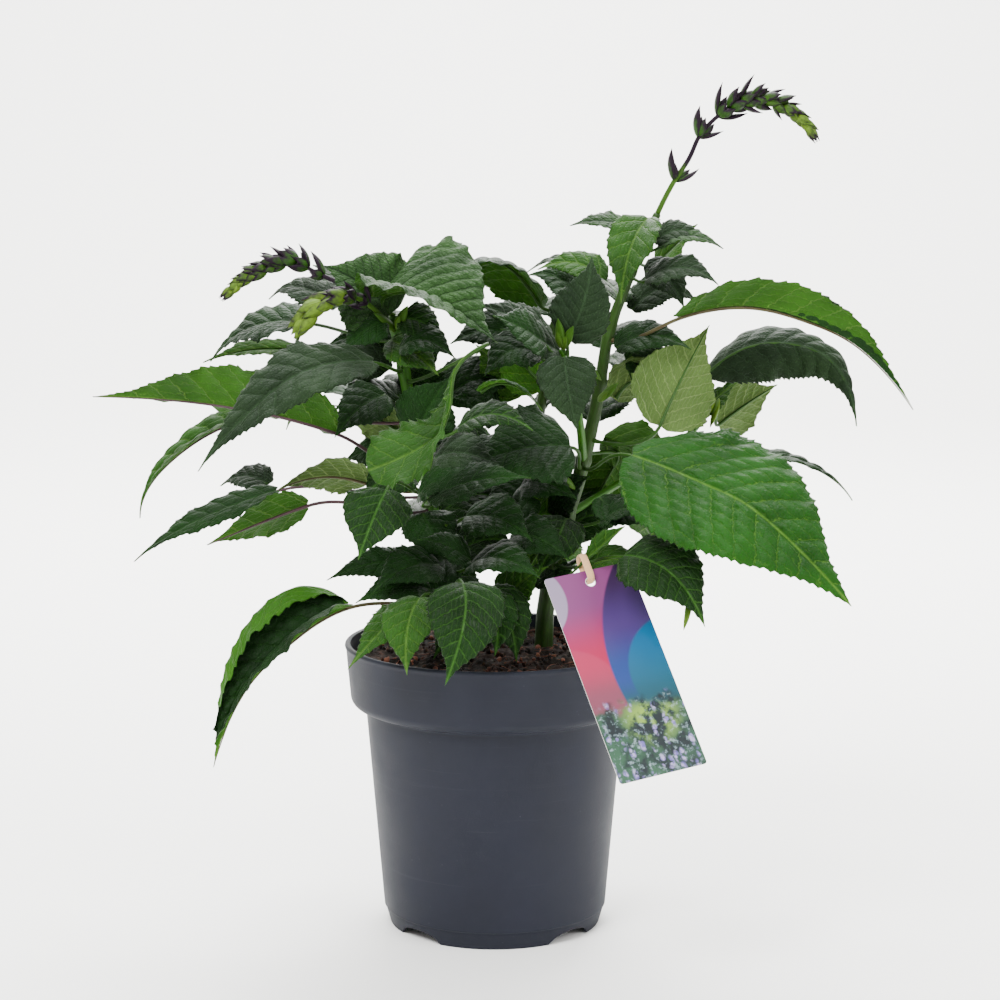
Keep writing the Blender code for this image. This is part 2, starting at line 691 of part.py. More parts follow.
def label_point(x, y, z):
    """A point given from the middle of the label's top edge: across it, out of its back, and up it."""
    return np.array(LABEL_TOP + LABEL_TURN.to_matrix() @ Vector((x, y, z)))


def tie_top():
    """The place on the strap leaf's petiole that the tie goes round."""
    return label_point(0.0, 0.0, TIE_REACH)


def strap_leaf():
    """The narrow leaf that holds the label: the tie goes round the thin foot of its blade."""
    along = unit(np.array([0.74, -0.1, 0.67]))
    top = tie_top()
    rib = [top + distance * along for distance in (-STRAP_LEAD, 0.0, 14.0, 31.0)]
    return leaf("stem_right", 195, rib, 14, (-5, -7, 5), folds=(40, 40), curl=0, widest=0.6, fullness=2.0)


def make_label(finish):
    """A card with rounded corners and a punched hole."""
    corner = ring_of(LABEL_CORNER, 12)
    x = LABEL_WIDTH / 2 - LABEL_CORNER
    high = -LABEL_CORNER
    low = LABEL_CORNER - LABEL_LENGTH
    centres = [(x, high), (-x, high), (-x, low), (x, low)]
    outline = [
        (cx + corner[(3 * quarter + step) % 12, 0], cz + corner[(3 * quarter + step) % 12, 1])
        for quarter, (cx, cz) in enumerate(centres)
        for step in range(4)
    ]
    half = LABEL_THICKNESS / 2
    sides = [[label_point(px, py, pz) for px, pz in outline] for py in (half, -half)]
    card = loft("label_card", np.array(sides), finish)
    hole = ring_of(HOLE_RADIUS, 16) + np.array([0.0, -HOLE_FROM_TOP])
    ends = [[label_point(px, py, pz) for px, pz in hole] for py in (4 * half, -4 * half)]
    cut(card, [loft("label_hole", np.array(ends), None)])
    return card


def make_tie(finish):
    """A closed loop with two straight sides, through the label's hole and round the petiole."""
    radius = PETIOLE_RADIUS + TIE_SLACK + TIE_RADIUS
    low = radius - HOLE_FROM_TOP
    high = TIE_REACH
    half_turn = np.linspace(0.0, math.pi, 7)
    angles = np.concatenate([half_turn, half_turn + math.pi])
    heights = np.where(angles < math.pi + 1e-9, high, low)
    heights[len(half_turn)] = low
    rings = []
    for angle, height in zip(angles, heights):
        ring = []
        for across, outward in ring_of(TIE_RADIUS, TIE_SIDES)[:, ::-1]:
            reach = radius + outward
            ring.append(label_point(-across, reach * math.cos(angle), height + reach * math.sin(angle)))
        rings.append(ring)
    rings = np.array(rings)
    stations, sides, _ = rings.shape
    index = np.arange(stations * sides).reshape(stations, sides)
    after = np.roll(index, -1, axis=1)
    following = np.roll(index, -1, axis=0)
    following_after = np.roll(after, -1, axis=0)
    faces = np.stack([index, after, following_after, following], axis=-1).reshape(-1, 4).tolist()
    return add_object("label_tie", rings.reshape(-1, 3), faces, finish)


def main():
    for old in list(bpy.data.objects):
        bpy.data.objects.remove(old)
    make_pot(material("moulded_plastic", (0.055, 0.062, 0.078), 0.45))
    make_soil(material("peat", (0.022, 0.012, 0.008), 0.95))
    stem_green = material("stem_green", (0.09, 0.22, 0.03), 0.55)
    for name in STEMS:
        make_stem(name, stem_green)
    bud_purple = material("bud_purple", (0.05, 0.04, 0.05), 0.6)
    for name in SPIKES:
        make_spike(name, bud_purple)
    leaf_green = material("leaf_green", (0.03, 0.13, 0.03), 0.5)
    LEAVES["leaf_label_strap"] = strap_leaf()
    for name in LEAVES:
        make_leaf(name, leaf_green)
    make_label(material("printed_card", (0.55, 0.2, 0.4), 0.4))
    make_tie(material("elastic", (0.72, 0.5, 0.33), 0.7))


main()
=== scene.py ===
import math

import bpy
import numpy as np
from mathutils import Euler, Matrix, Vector


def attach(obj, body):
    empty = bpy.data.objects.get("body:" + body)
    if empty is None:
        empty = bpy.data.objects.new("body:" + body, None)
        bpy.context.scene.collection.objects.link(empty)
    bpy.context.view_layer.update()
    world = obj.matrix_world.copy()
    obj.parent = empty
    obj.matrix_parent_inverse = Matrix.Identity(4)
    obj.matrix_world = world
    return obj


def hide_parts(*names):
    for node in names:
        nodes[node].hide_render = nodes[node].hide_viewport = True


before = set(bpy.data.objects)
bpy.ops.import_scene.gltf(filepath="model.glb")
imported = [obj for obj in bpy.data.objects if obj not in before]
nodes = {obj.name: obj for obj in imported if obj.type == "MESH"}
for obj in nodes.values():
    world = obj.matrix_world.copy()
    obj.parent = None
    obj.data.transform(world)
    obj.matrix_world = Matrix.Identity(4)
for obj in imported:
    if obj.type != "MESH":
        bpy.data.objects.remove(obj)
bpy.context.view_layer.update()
mm = 0.001
print("frame loaded")


# colours, nodes and meshes, shared by all pieces

def linear(colour, share=1.0):
    # sRGB hex to the linear colour that Blender works in, made darker by one share or three
    parts = [int(colour[i:i + 2], 16) / 255 for i in (1, 3, 5)]
    parts = np.array([c / 12.92 if c <= 0.04045 else ((c + 0.055) / 1.055) ** 2.4 for c in parts])
    return tuple(float(c) for c in parts * share) + (1.0,)


def startMaterial(name, **sockets):
    # a Principled material; sockets are its constant values, with _ for a space
    finish = bpy.data.materials.new(name)
    finish.use_nodes = True
    shader = finish.node_tree.nodes["Principled BSDF"]
    for socket, value in sockets.items():
        shader.inputs[socket.replace("_", " ")].default_value = value
    return finish, finish.node_tree, shader


def addNode(tree, kind, inputs=(), out=0, **settings):
    # adds a node; inputs maps a socket to a value or to another node's output, and one output comes back
    made = tree.nodes.new(kind)
    for setting, value in settings.items():
        setattr(made, setting, value)
    for socket, value in dict(inputs).items():
        if isinstance(value, bpy.types.NodeSocket):
            tree.links.new(value, made.inputs[socket])
        else:
            made.inputs[socket].default_value = value
    return made.outputs[out]


def noise(tree, place, scale, detail, rough=0.5):
    values = {"Vector": place, "Scale": scale, "Detail": detail, "Roughness": rough}
    return addNode(tree, "ShaderNodeTexNoise", values)


def maths(tree, operation, *values):
    return addNode(tree, "ShaderNodeMath", dict(enumerate(values)), operation=operation)


def remap(tree, value, first, last, low, high, **settings):
    # the value's range from first to last becomes low to high
    ends = {0: value, 1: first, 2: last, 3: low, 4: high}
    return addNode(tree, "ShaderNodeMapRange", ends, **settings)


def blend(tree, share, below, above, **settings):
    # two colours mixed: share 0 gives below, share 1 gives above
    return addNode(tree, "ShaderNodeMix", {0: share, 6: below, 7: above}, 2, data_type="RGBA", **settings)


def addBump(tree, shader, height, strength, distance):
    bump = addNode(tree, "ShaderNodeBump", {"Height": height, "Strength": strength, "Distance": distance})
    tree.links.new(bump, shader.inputs["Normal"])


def unit(vectors):
    return vectors / np.maximum(np.linalg.norm(vectors, axis=-1, keepdims=True), 1e-9)


def resample(points, count):
    # the same line as count points an equal length apart
    along = np.concatenate([[0.0], np.cumsum(np.linalg.norm(np.diff(points, axis=0), axis=1))])
    wanted = np.linspace(0.0, along[-1], count)
    return np.column_stack([np.interp(wanted, along, points[:, k]) for k in range(3)])


def smoothPath(points, count):
    # Catmull-Rom curve through the points, its ends carried on as parabolas
    given = np.array(points, float)
    before = 3 * given[0] - 3 * given[1] + given[2]
    after = 3 * given[-1] - 3 * given[-2] + given[-3]
    held = np.vstack([before, given, after])
    t = np.linspace(0.0, 1.0, 24, endpoint=False)[:, None]
    stretches = [
        0.5 * (2 * b + (c - a) * t + (2 * a - 5 * b + 4 * c - d) * t**2 + (3 * b - a - 3 * c + d) * t**3)
        for a, b, c, d in zip(held, held[1:], held[2:], held[3:])
    ]
    return resample(np.vstack([*stretches, given[-1:]]), count)


def pathFrames(path, facing, level):
    # tangents, normals and sideways vectors; the normal at the given level turns the least on its way along
    steps = unit(np.diff(path, axis=0))
    tangent = unit(np.vstack([steps[:1], steps[:-1] + steps[1:], steps[-1:]]))
    facing = unit(np.array(facing, float))
    start = tangent[level]
    normal = unit(facing - facing.dot(start) * start)
    share = (tangent @ normal) / (1 + tangent @ start)
    normals = unit(normal - share[:, None] * (start + tangent))
    return tangent, normals, np.cross(tangent, normals)


def softNoise(x, y, rng, cells=64):
    # random heights from -1 to 1 on a square lattice, blended smoothly between its points
    lattice = rng.uniform(-1, 1, (cells, cells))
    i, j = np.floor(x).astype(int), np.floor(y).astype(int)
    fx, fy = x - i, y - j
    fx, fy = fx * fx * (3 - 2 * fx), fy * fy * (3 - 2 * fy)
    a, b = lattice[i % cells, j % cells], lattice[(i + 1) % cells, j % cells]
    c, d = lattice[i % cells, (j + 1) % cells], lattice[(i + 1) % cells, (j + 1) % cells]
    return (a * (1 - fx) + b * fx) * (1 - fy) + (c * (1 - fx) + d * fx) * fy


def closedSkin(rings, first, last, **extra):
    # a closed skin over rings of points, which close to one point at each end
    # rings run from the normal towards the sideways vector, so the faces point outwards
    rows, sides, _ = rings.shape
    index = np.arange(rows * sides).reshape(rows, sides)
    after = np.roll(index, -1, axis=1)
    quads = np.stack([index[:-1], after[:-1], after[1:], index[1:]], axis=-1).reshape(-1, 4)
    startPole, endPole = rows * sides, rows * sides + 1
    startFan = np.stack([np.full(sides, startPole), after[0], index[0]], axis=-1)
    endFan = np.stack([np.full(sides, endPole), index[-1], after[-1]], axis=-1)
    points = np.vstack([rings.reshape(-1, 3), first, last])
    skin = {"points": points, "quads": quads, "tris": np.vstack([startFan, endFan])}
    skin["quadSlots"] = np.zeros(len(quads), int)
    skin["triSlots"] = np.zeros(2 * sides, int)
    skin["uv"] = np.zeros((len(points), 2))
    skin["lines"] = np.zeros((len(points), 3))
    skin.update(extra)
    return skin


def addPiece(name, skins, finishes, stands=()):
    # one object from closed skins in millimetres, with its UV map and its pattern lines
    start = np.cumsum([0] + [len(s["points"]) for s in skins])
    points = np.vstack([s["points"] for s in skins]) * mm
    quads = np.vstack([s["quads"] + n for s, n in zip(skins, start)])
    tris = np.vstack([s["tris"] + n for s, n in zip(skins, start)])
    slots = np.concatenate([s["quadSlots"] for s in skins] + [s["triSlots"] for s in skins])
    corners = np.concatenate([quads.ravel(), tris.ravel()])
    mesh = bpy.data.meshes.new(name)
    mesh.vertices.add(len(points))
    mesh.vertices.foreach_set("co", points.ravel())
    mesh.loops.add(len(corners))
    mesh.loops.foreach_set("vertex_index", corners)
    mesh.polygons.add(len(quads) + len(tris))
    starts = np.concatenate([np.arange(len(quads)) * 4, len(quads) * 4 + np.arange(len(tris)) * 3])
    mesh.polygons.foreach_set("loop_start", starts)
    mesh.polygons.foreach_set("material_index", slots)
    mesh.update(calc_edges=True)
    mesh.shade_smooth()
    uvs = np.vstack([s["uv"] for s in skins])
    layer = mesh.uv_layers.new(name="surfaceMm")
    layer.data.foreach_set("uv", uvs[corners].astype(np.float32).ravel())
    lines = mesh.attributes.new("lines", "FLOAT_VECTOR", "POINT")
    lines.data.foreach_set("vector", np.vstack([s["lines"] for s in skins]).astype(np.float32).ravel())
    for finish in finishes:
        mesh.materials.append(finish)
    made = bpy.data.objects.new(name, mesh)
    bpy.context.scene.collection.objects.link(made)
    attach(made, "root")
    if stands:
        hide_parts(*stands)
    return made


def tube(path, radii, sides, facing=(0, -1, 0), square=2.0, turn=0.0, slot=0):
    # a round tube, or one with rounded corners where square is over 2: |cos|^n + |sin|^n = 1
    radii = np.broadcast_to(np.asarray(radii, float), (len(path),))
    _, normals, sideways = pathFrames(path, facing, len(path) // 2)
    angle = np.arange(sides) * 2 * math.pi / sides + turn
    shape = (np.abs(np.cos(angle - turn)) ** square + np.abs(np.sin(angle - turn)) ** square) ** (-1 / square)
    cosine, sine = np.cos(angle)[None, :, None], np.sin(angle)[None, :, None]
    around = cosine * normals[:, None, :] + sine * sideways[:, None, :]
    rings = path[:, None, :] + radii[:, None, None] * shape[None, :, None] * around
    skin = closedSkin(rings, path[0], path[-1])
    along = np.concatenate([[0.0], np.cumsum(np.linalg.norm(np.diff(path, axis=0), axis=1))])
    grid = np.stack(np.broadcast_arrays(along[:, None] / 100, angle[None, :] * radii.mean() / 100), axis=-1)
    skin["uv"][:-2] = grid.reshape(-1, 2)
    skin["lines"][:-2, 0] = np.repeat(along, sides)
    skin["lines"][:-2, 1] = np.tile(angle, len(path))
    skin["quadSlots"] += slot
    skin["triSlots"] += slot
    return skin


# camera, light and floor

studio = {
    "cameraPlace": (3, -1375, 447),
    "lookDown": 8.4,  # degrees below level
    "lens": 88.35,
    "backdrop": "#f7f7f5",
    "floor": "#f4f3f0",
    "skyLight": 1.0,
    "paperReach": 12000,  # to either side and towards the front
    "coveStart": 2400, "coveRadius": 1500, "coveTop": 6000,  # where the paper curves up behind the plant
    "lamps": [  # place, what it looks at, width, power in watts
        ((-700, -1200, 1700), (0, 0, 250), 900, 72),
        ((1300, -900, 1000), (0, 0, 250), 900, 20),
        ((200, 1400, 1500), (0, 0, 300), 1100, 44),
        ((0, 1500, 3200), (0, 3600, 800), 2600, 520),  # onto the paper behind
    ],
}


def setStudio():
    scene = bpy.context.scene
    camera = bpy.data.objects.new("camera", bpy.data.cameras.new("camera"))
    camera.data.lens = studio["lens"]
    camera.data.sensor_width = 36.0
    camera.data.clip_end = 60
    camera.location = Vector(studio["cameraPlace"]) * mm
    camera.rotation_euler = Euler((math.radians(90 - studio["lookDown"]), 0, 0))
    scene.collection.objects.link(camera)
    scene.camera = camera
    world = bpy.data.worlds.new("studioAir")
    world.use_nodes = True
    air = world.node_tree.nodes["Background"]
    air.inputs["Color"].default_value = linear(studio["backdrop"])
    air.inputs["Strength"].default_value = studio["skyLight"]
    scene.world = world
    for number, (place, target, width, power) in enumerate(studio["lamps"]):
        name = f"softbox_{number + 1}"
        lamp = bpy.data.objects.new(name, bpy.data.lights.new(name, "AREA"))
        lamp.data.size = width * mm
        lamp.data.energy = power
        lamp.location = Vector(place) * mm
        lamp.rotation_euler = (Vector(target) - Vector(place)).to_track_quat("-Z", "Y").to_euler()
        scene.collection.objects.link(lamp)
    finish, tree, shader = startMaterial("paperFloor", Roughness=0.9, Specular_IOR_Level=0.1)
    # seamless paper: matt and almost white
    grain = addNode(tree, "ShaderNodeTexNoise", {"Scale": 6.0, "Detail": 2.0})
    tint = blend(tree, grain, linear(studio["floor"]), linear(studio["backdrop"]))
    tree.links.new(tint, shader.inputs["Base Color"])
    # the paper lies flat and then curves up into a wall
    turn = np.radians(np.linspace(0, 90, 25))
    start, radius, reach = studio["coveStart"], studio["coveRadius"], studio["paperReach"]
    line = np.vstack([
        np.column_stack([np.linspace(-reach, start - 100, 9), np.zeros(9)]),
        np.column_stack([start + radius * np.sin(turn), radius * (1 - np.cos(turn))]),
        [(start + radius, studio["coveTop"])],
    ])
    across = np.linspace(-reach, reach, 9)
    points = np.stack(np.broadcast_arrays(across[None, :], line[:, :1], line[:, 1:] - 0.2), axis=-1) * mm
    mesh = bpy.data.meshes.new("studioFloor")
    index = np.arange(points.size // 3).reshape(len(line), 9)
    faces = np.stack([index[:-1, :-1], index[:-1, 1:], index[1:, 1:], index[1:, :-1]], axis=-1).reshape(-1, 4)
    mesh.from_pydata(points.reshape(-1, 3).tolist(), [], faces.tolist())
    mesh.shade_smooth()
    mesh.materials.append(finish)
    floor = bpy.data.objects.new("studioFloor", mesh)
    scene.collection.objects.link(floor)


setStudio()
print("studio set")


# pot: grey polypropylene, injection moulded

pot = {
    "height": 163.0, "rim": 85.0, "wall": 1.6, "lip": 1.5,
    "collarFoot": 125.0, "collarBottom": 82.4, "shoulder": 8.0,
    "bodyTop": 73.4, "bodyBottom": 64.0,
    "footTop": 9.0, "footRadius": 60.5, "base": 2.0,
    "feet": 4, "arch": 6.0, "archHalfAngle": 14.0,
    "sides": 288,
    "drainRadius": 4.5, "drainPlace": 47.5,
}


def potFinish():
    # moulded polypropylene: satin, slate grey, with fine scuffs, dust and the mould's turning marks
    finish, tree, shader = startMaterial(
        "mouldedPolypropylene", Roughness=0.55, IOR=1.49, Specular_IOR_Level=0.12)
    place = addNode(tree, "ShaderNodeTexCoord", out=3)
    cloud = noise(tree, place, 22.0, 5.0, 0.6)
    base = blend(tree, cloud, linear("#191b22"), linear("#21232d"))
    # dust: small pale specks about 1 mm across
    speck = addNode(tree, "ShaderNodeTexVoronoi", {"Vector": place, "Scale": 260.0, "Randomness": 1.0})
    dust = remap(tree, speck, 0.05, 0.14, 0.45, 0.0)
    thin = noise(tree, place, 60.0, 2.0)
    some = remap(tree, thin, 0.58, 0.72, 0.0, 1.0)
    dust = maths(tree, "MULTIPLY", dust, some)
    # scuffs: long shallow scratches that run round the pot
    turned = addNode(tree, "ShaderNodeMapping", {"Vector": place, "Scale": (9.0, 9.0, 420.0)})
    rings = noise(tree, turned, 1.0, 3.0, 0.7)
    scuff = remap(tree, rings, 0.62, 0.80, 0.0, 0.15)
    worn = maths(tree, "MAXIMUM", dust, scuff)
    colour = blend(tree, worn, base, linear("#3c3f46"))
    tree.links.new(colour, shader.inputs["Base Color"])
    rough = remap(tree, cloud, 0.3, 0.7, 0.48, 0.62)
    tree.links.new(rough, shader.inputs["Roughness"])
    fine = noise(tree, place, 900.0, 2.0)
    height = maths(tree, "ADD", rings, fine)
    addBump(tree, shader, height, 0.12, 0.0004)
    return finish


def arc(centre, radius, first, last, count):
    # points on an arc in the (radius, height) plane, by angle in degrees
    angle = np.radians(np.linspace(first, last, count))
    return np.column_stack([centre[0] + radius * np.cos(angle), centre[1] + radius * np.sin(angle)])


def makePot():
    p = pot
    lip = p["lip"]
    # the outer line from the lip's top down to where the foot ring starts
    outer = np.vstack([
        arc((p["rim"] - lip + 0.5, p["height"] - lip), lip, 90, -35, 9),
        [(p["rim"] - 0.25, p["height"] - 4.0), (p["rim"] - 0.9, p["height"] - 12.0)],
        [(p["collarBottom"], p["collarFoot"] + p["shoulder"])],
        arc((p["collarBottom"] - 6.0, p["collarFoot"] + p["shoulder"]), 6.0, -8, -62, 8),
        arc((p["bodyTop"] + 2.2, p["collarFoot"] - 0.6), 2.0, 120, 182, 6),
    ])
    body = np.column_stack([
        np.linspace(p["bodyTop"] - 0.1, p["bodyBottom"], 24),
        np.linspace(p["collarFoot"] - 4.0, p["footTop"] + 3.0, 24),
    ])
    step = np.array([
        (p["bodyBottom"] - 0.15, p["footTop"] + 1.2), (p["bodyBottom"] - 0.9, p["footTop"] + 0.7),
        (p["bodyBottom"] - 1.0, p["footTop"] - 0.2),
    ])
    inner = np.vstack([
        [(p["rim"] - 2.6, p["height"] - 0.4), (p["rim"] - 3.0, p["height"] - 3.0)],
        [(p["collarBottom"] - p["wall"], p["collarFoot"] + p["shoulder"])],
        [(p["bodyTop"] - p["wall"], p["collarFoot"] - 2.0)],
        [(p["bodyBottom"] - p["wall"], p["footTop"] + 0.6)],
        [(p["bodyBottom"] - p["wall"] - 2.0, p["footTop"])],
    ])
    sides = p["sides"]
    angle = np.arange(sides) * 2 * math.pi / sides
    # the arches: how far the foot's edge is lifted, flat on the feet and smooth over each arch
    away = np.abs(np.degrees(angle) % 90.0 - 45.0)
    lift = p["arch"] * np.clip(1 - (away / p["archHalfAngle"]) ** 2, 0, 1) ** 0.5
    heights = []
    radii = []
    for r, z in inner[::-1]:
        radii.append(np.full(sides, r))
        heights.append(np.full(sides, z))
    for r, z in np.vstack([outer, body, step]):
        radii.append(np.full(sides, r))
        heights.append(np.full(sides, z))
    top = p["footTop"] - 0.2
    for share in np.linspace(0.15, 1.0, 7):  # the foot's skirt, down to the ground or to its arch
        z = top - (top - lift) * share
        radii.append(p["footRadius"] + (p["bodyBottom"] - 1.0 - p["footRadius"]) * z / top)
        heights.append(z)
    edge = radii[-1]
    for r, z in ((p["wall"] * 0.2, 0.0), (p["wall"] * 0.8, 0.0), (p["wall"], 0.25)):
        radii.append(edge - r)
        heights.append(lift + z)
    under = p["footTop"] - p["base"]
    radii.append(np.full(sides, p["footRadius"] - p["wall"]))
    heights.append(np.full(sides, under))
    radii.append(np.full(sides, 6.0))
    heights.append(np.full(sides, under))
    rings = np.stack([
        np.column_stack([r * np.cos(angle), r * np.sin(angle), z]) for r, z in zip(radii, heights)
    ])
    first = np.array([0.0, 0.0, p["footTop"]])
    last = np.array([0.0, 0.0, under])
    skin = closedSkin(rings[:, ::-1], first, last)
    made = addPiece("nursery_pot", [skin], [potFinish()], ["pot"])
    # drain holes: one beside every arch and one above every foot
    for number in range(2 * p["feet"]):
        turn = math.pi * number / p["feet"]
        bpy.ops.mesh.primitive_cylinder_add(
            vertices=24, radius=p["drainRadius"] * mm, depth=12 * mm,
            location=(p["drainPlace"] * math.cos(turn) * mm, p["drainPlace"] * math.sin(turn) * mm, 8 * mm))
        drill = bpy.context.object
        hole = made.modifiers.new("drain", "BOOLEAN")
        hole.operation = "DIFFERENCE"
        hole.solver = "EXACT"
        hole.object = drill
    shaped = bpy.data.meshes.new_from_object(made.evaluated_get(bpy.context.evaluated_depsgraph_get()))
    for hole in list(made.modifiers):
        drill = hole.object
        made.modifiers.remove(hole)
        bpy.data.objects.remove(drill)
    made.data = shaped
    shaped.set_sharp_from_angle(angle=math.radians(50))
    return made


makePot()
print("pot turned")


# soil: moist peat mix with bark crumbs and fibres

soil = {
    "edgeHeight": 154.5, "mound": 3.5, "radius": 82.4,
    "side": [(61.8, 9.6), (71.0, 124.0), (74.0, 129.0), (80.2, 133.6)],  # radius and height, going up
    "rows": 90, "sides": 300,
    "roughness": 1.5,  # height of the largest lumps
    "crumbs": 620, "crumbReach": 81.0,  # how far out their middles lie
    "fibres": 90, "fibreReach": 79.0, "fibreLimit": 80.5,
    "solidRadius": 83.0,  # of the soil's solid, by which the stems' feet are set
    "seed": 11,
}


def soilFinish():
    # peat: almost black in the hollows of its relief and warm brown on the lumps' tops, never glossy
    finish, tree, shader = startMaterial("moistPeat", Roughness=0.92, Specular_IOR_Level=0.25)
    place = addNode(tree, "ShaderNodeTexCoord", out=3)
    lumps = noise(tree, place, 180.0, 6.0, 0.7)
    patches = noise(tree, place, 30.0, 3.0)
    warm = remap(tree, patches, 0.42, 0.68, 0.0, 1.0)
    brown = blend(tree, warm, linear("#150f0c"), linear("#281a14"))
    # paler where the lumps, which also drive the bump below, stand highest
    pale = remap(tree, lumps, 0.52, 0.74, 0.0, 0.85)
    colour = blend(tree, pale, brown, linear("#5a3d2f"))
    tree.links.new(colour, shader.inputs["Base Color"])
    addBump(tree, shader, lumps, 0.8, 0.0012)
    return finish


def barkFinish():
    # bark and root fibre: reddish brown, dull, paler along the fibre
    finish, tree, shader = startMaterial("barkFibre", Roughness=0.8, Specular_IOR_Level=0.3)
    place = addNode(tree, "ShaderNodeTexCoord", out=3)
    cloud = noise(tree, place, 120.0, 3.0)
    share = remap(tree, cloud, 0.35, 0.68, 0.0, 1.0)
    colour = blend(tree, share, linear("#2e1a14"), linear("#7a4a38"))
    tree.links.new(colour, shader.inputs["Base Color"])
    addBump(tree, shader, cloud, 0.5, 0.0005)
    return finish


def soilSurface(x, y, lumps):
    # the mound, plus the lumps' height at each place
    share = np.hypot(x, y) / soil["radius"]
    return soil["edgeHeight"] + soil["mound"] * (1 - share**2) + lumps


def makeSoil():
    rng = np.random.default_rng(soil["seed"])
    sides = soil["sides"]
    angle = np.arange(sides) * 2 * math.pi / sides
    radius = soil["radius"] * np.linspace(1.0, 0.0, soil["rows"], endpoint=False) ** 0.85
    x, y = radius[:, None] * np.cos(angle), radius[:, None] * np.sin(angle)
    lumps = soil["roughness"] * (
        softNoise(x / 7.0 + 40, y / 7.0 + 40, rng)
        + 0.7 * softNoise(x / 3.0 + 40, y / 3.0 + 40, rng)
        + 0.45 * softNoise(x / 1.4 + 90, y / 1.4 + 90, rng, 160)
    )
    lumps[0] *= 0.3
    top = np.stack([x, y, soilSurface(x, y, lumps)], axis=-1)
    wall = np.array(soil["side"] + [(soil["radius"], 151.0)])
    below = np.stack([
        np.column_stack([r * np.cos(angle), r * np.sin(angle), np.full(sides, z)]) for r, z in wall
    ])
    rings = np.concatenate([below, top])
    peak = soil["edgeHeight"] + soil["mound"]
    skins = [closedSkin(rings, np.array([0, 0, wall[0, 1]]), np.array([0, 0, peak]))]
    # crumbs: small lumps of eight sides and three rings, turned every way
    circle = np.arange(8) * math.pi / 4
    for _ in range(soil["crumbs"]):
        size = rng.uniform(0.7, 2.4) * rng.uniform(0.6, 1.0)
        away, at = soil["crumbReach"] * math.sqrt(rng.uniform(0.0, 1.0)), rng.uniform(0, 2 * math.pi)
        cx, cy = away * math.cos(at), away * math.sin(at)
        turn = np.array(Euler(rng.uniform(-3, 3, 3)).to_matrix())
        ball = np.stack([
            np.column_stack([r * np.cos(circle), r * np.sin(circle), np.full(8, z)])
            for r, z in ((0.75, -0.6), (1.0, 0.0), (0.7, 0.65))
        ]) * rng.uniform(0.75, 1.25, (3, 8, 1))
        middle = np.array([cx, cy, float(soilSurface(cx, cy, 0.0)) + 0.5 + rng.uniform(0, 0.8)])
        shape = ball * size * np.array([1.0, rng.uniform(0.6, 1.0), rng.uniform(0.5, 0.9)])
        poles = np.array([[0, 0, -0.9 * size], [0, 0, 0.85 * size]])
        slot = int(rng.uniform() < 0.25)
        crumb = closedSkin(shape @ turn.T + middle, poles[0] @ turn.T + middle, poles[1] @ turn.T + middle)
        crumb["quadSlots"] += slot
        crumb["triSlots"] += slot
        skins.append(crumb)
    # fibres: thin bent roots and splinters of bark lying on the soil
    for _ in range(soil["fibres"]):
        away, at = soil["fibreReach"] * math.sqrt(rng.uniform(0.0, 1.0)), rng.uniform(0, 2 * math.pi)
        heading = rng.uniform(0, 2 * math.pi)
        length = rng.uniform(5, 15)
        t = np.linspace(-0.5, 0.5, 7)
        bend = rng.uniform(-0.35, 0.35)
        fx = away * math.cos(at) + length * (t * math.cos(heading) - bend * t**2 * math.sin(heading))
        fy = away * math.sin(at) + length * (t * math.sin(heading) + bend * t**2 * math.cos(heading))
        inside = np.minimum(1.0, soil["fibreLimit"] / np.maximum(np.hypot(fx, fy), 1e-6))
        fx, fy = fx * inside, fy * inside
        fz = soilSurface(fx, fy, 0.0) + 1.1 + 0.8 * np.sin(3 * t + heading)
        width = rng.uniform(0.22, 0.6)
        line = np.column_stack([fx, fy, fz])
        skins.append(tube(line, width * (1 - 1.4 * np.abs(t)), 6, facing=(0.1, 0.2, 1), slot=1))
    return addPiece("peat_surface", skins, [soilFinish(), barkFinish()], ["potting_soil"])


makeSoil()
print("soil raked")


# stems: square, with rounded corners, a little swollen at each pair of leaves

stems = {  # start, further points, radius at the bottom and at the top, finish, heights of the swollen joints
    "stem_left": dict(
        start=(-27, -8), points=[(-34, -10, 232), (-43, -12, 281), (-52, -12, 325), (-56, -12, 349)],
        radii=(3.9, 2.6), finish="limeStem", joints=(186, 226, 250, 288, 318, 342)),
    "stem_right": dict(
        start=(28, 5),
        points=[(33, 5, 206), (49, 5, 260), (58, 5, 300), (63, 5, 333), (71, 5, 358), (91, 5, 405)],
        radii=(4.6, 1.9), finish="greenStem", joints=(204, 234, 266, 310, 336, 372, 396)),
    "stem_back": dict(
        start=(10, 32), points=[(20, 40, 238), (29, 46, 308), (38, 48, 354)],
        radii=(3.4, 2.0), finish="greenStem", joints=(192, 262, 338)),
    "stem_centre": dict(
        start=("stem_right", 266), points=[(47, -20, 292), (42, -26, 315), (37, -30, 332)],
        radii=(2.2, 1.6), finish="limeStem", joints=(314, 326)),
    "branch_right": dict(
        start=("stem_right", 236), points=[(84, 32, 257), (116, 37, 280), (126, 36, 297), (141, 34, 311)],
        radii=(2.0, 1.3), finish="limeStem", joints=(298, 308)),
}
stemLines = {}


def stemLine(name):
    # a stem's axis from its lower end up, and its radius at each point
    if name not in stemLines:
        stem = stems[name]
        if isinstance(stem["start"][0], str):
            start = sidePoint(*stem["start"], stem["points"][0], sink=2.0)[0]
        else:
            x, y = stem["start"]
            mound = soil["mound"] * (1 - (math.hypot(x, y) / soil["solidRadius"]) ** 2)
            start = np.array([x, y, soil["edgeHeight"] + mound + 0.4])
        path = smoothPath([start, *stem["points"]], 14)
        stemLines[name] = path, np.linspace(*stem["radii"], 14)
    return stemLines[name]


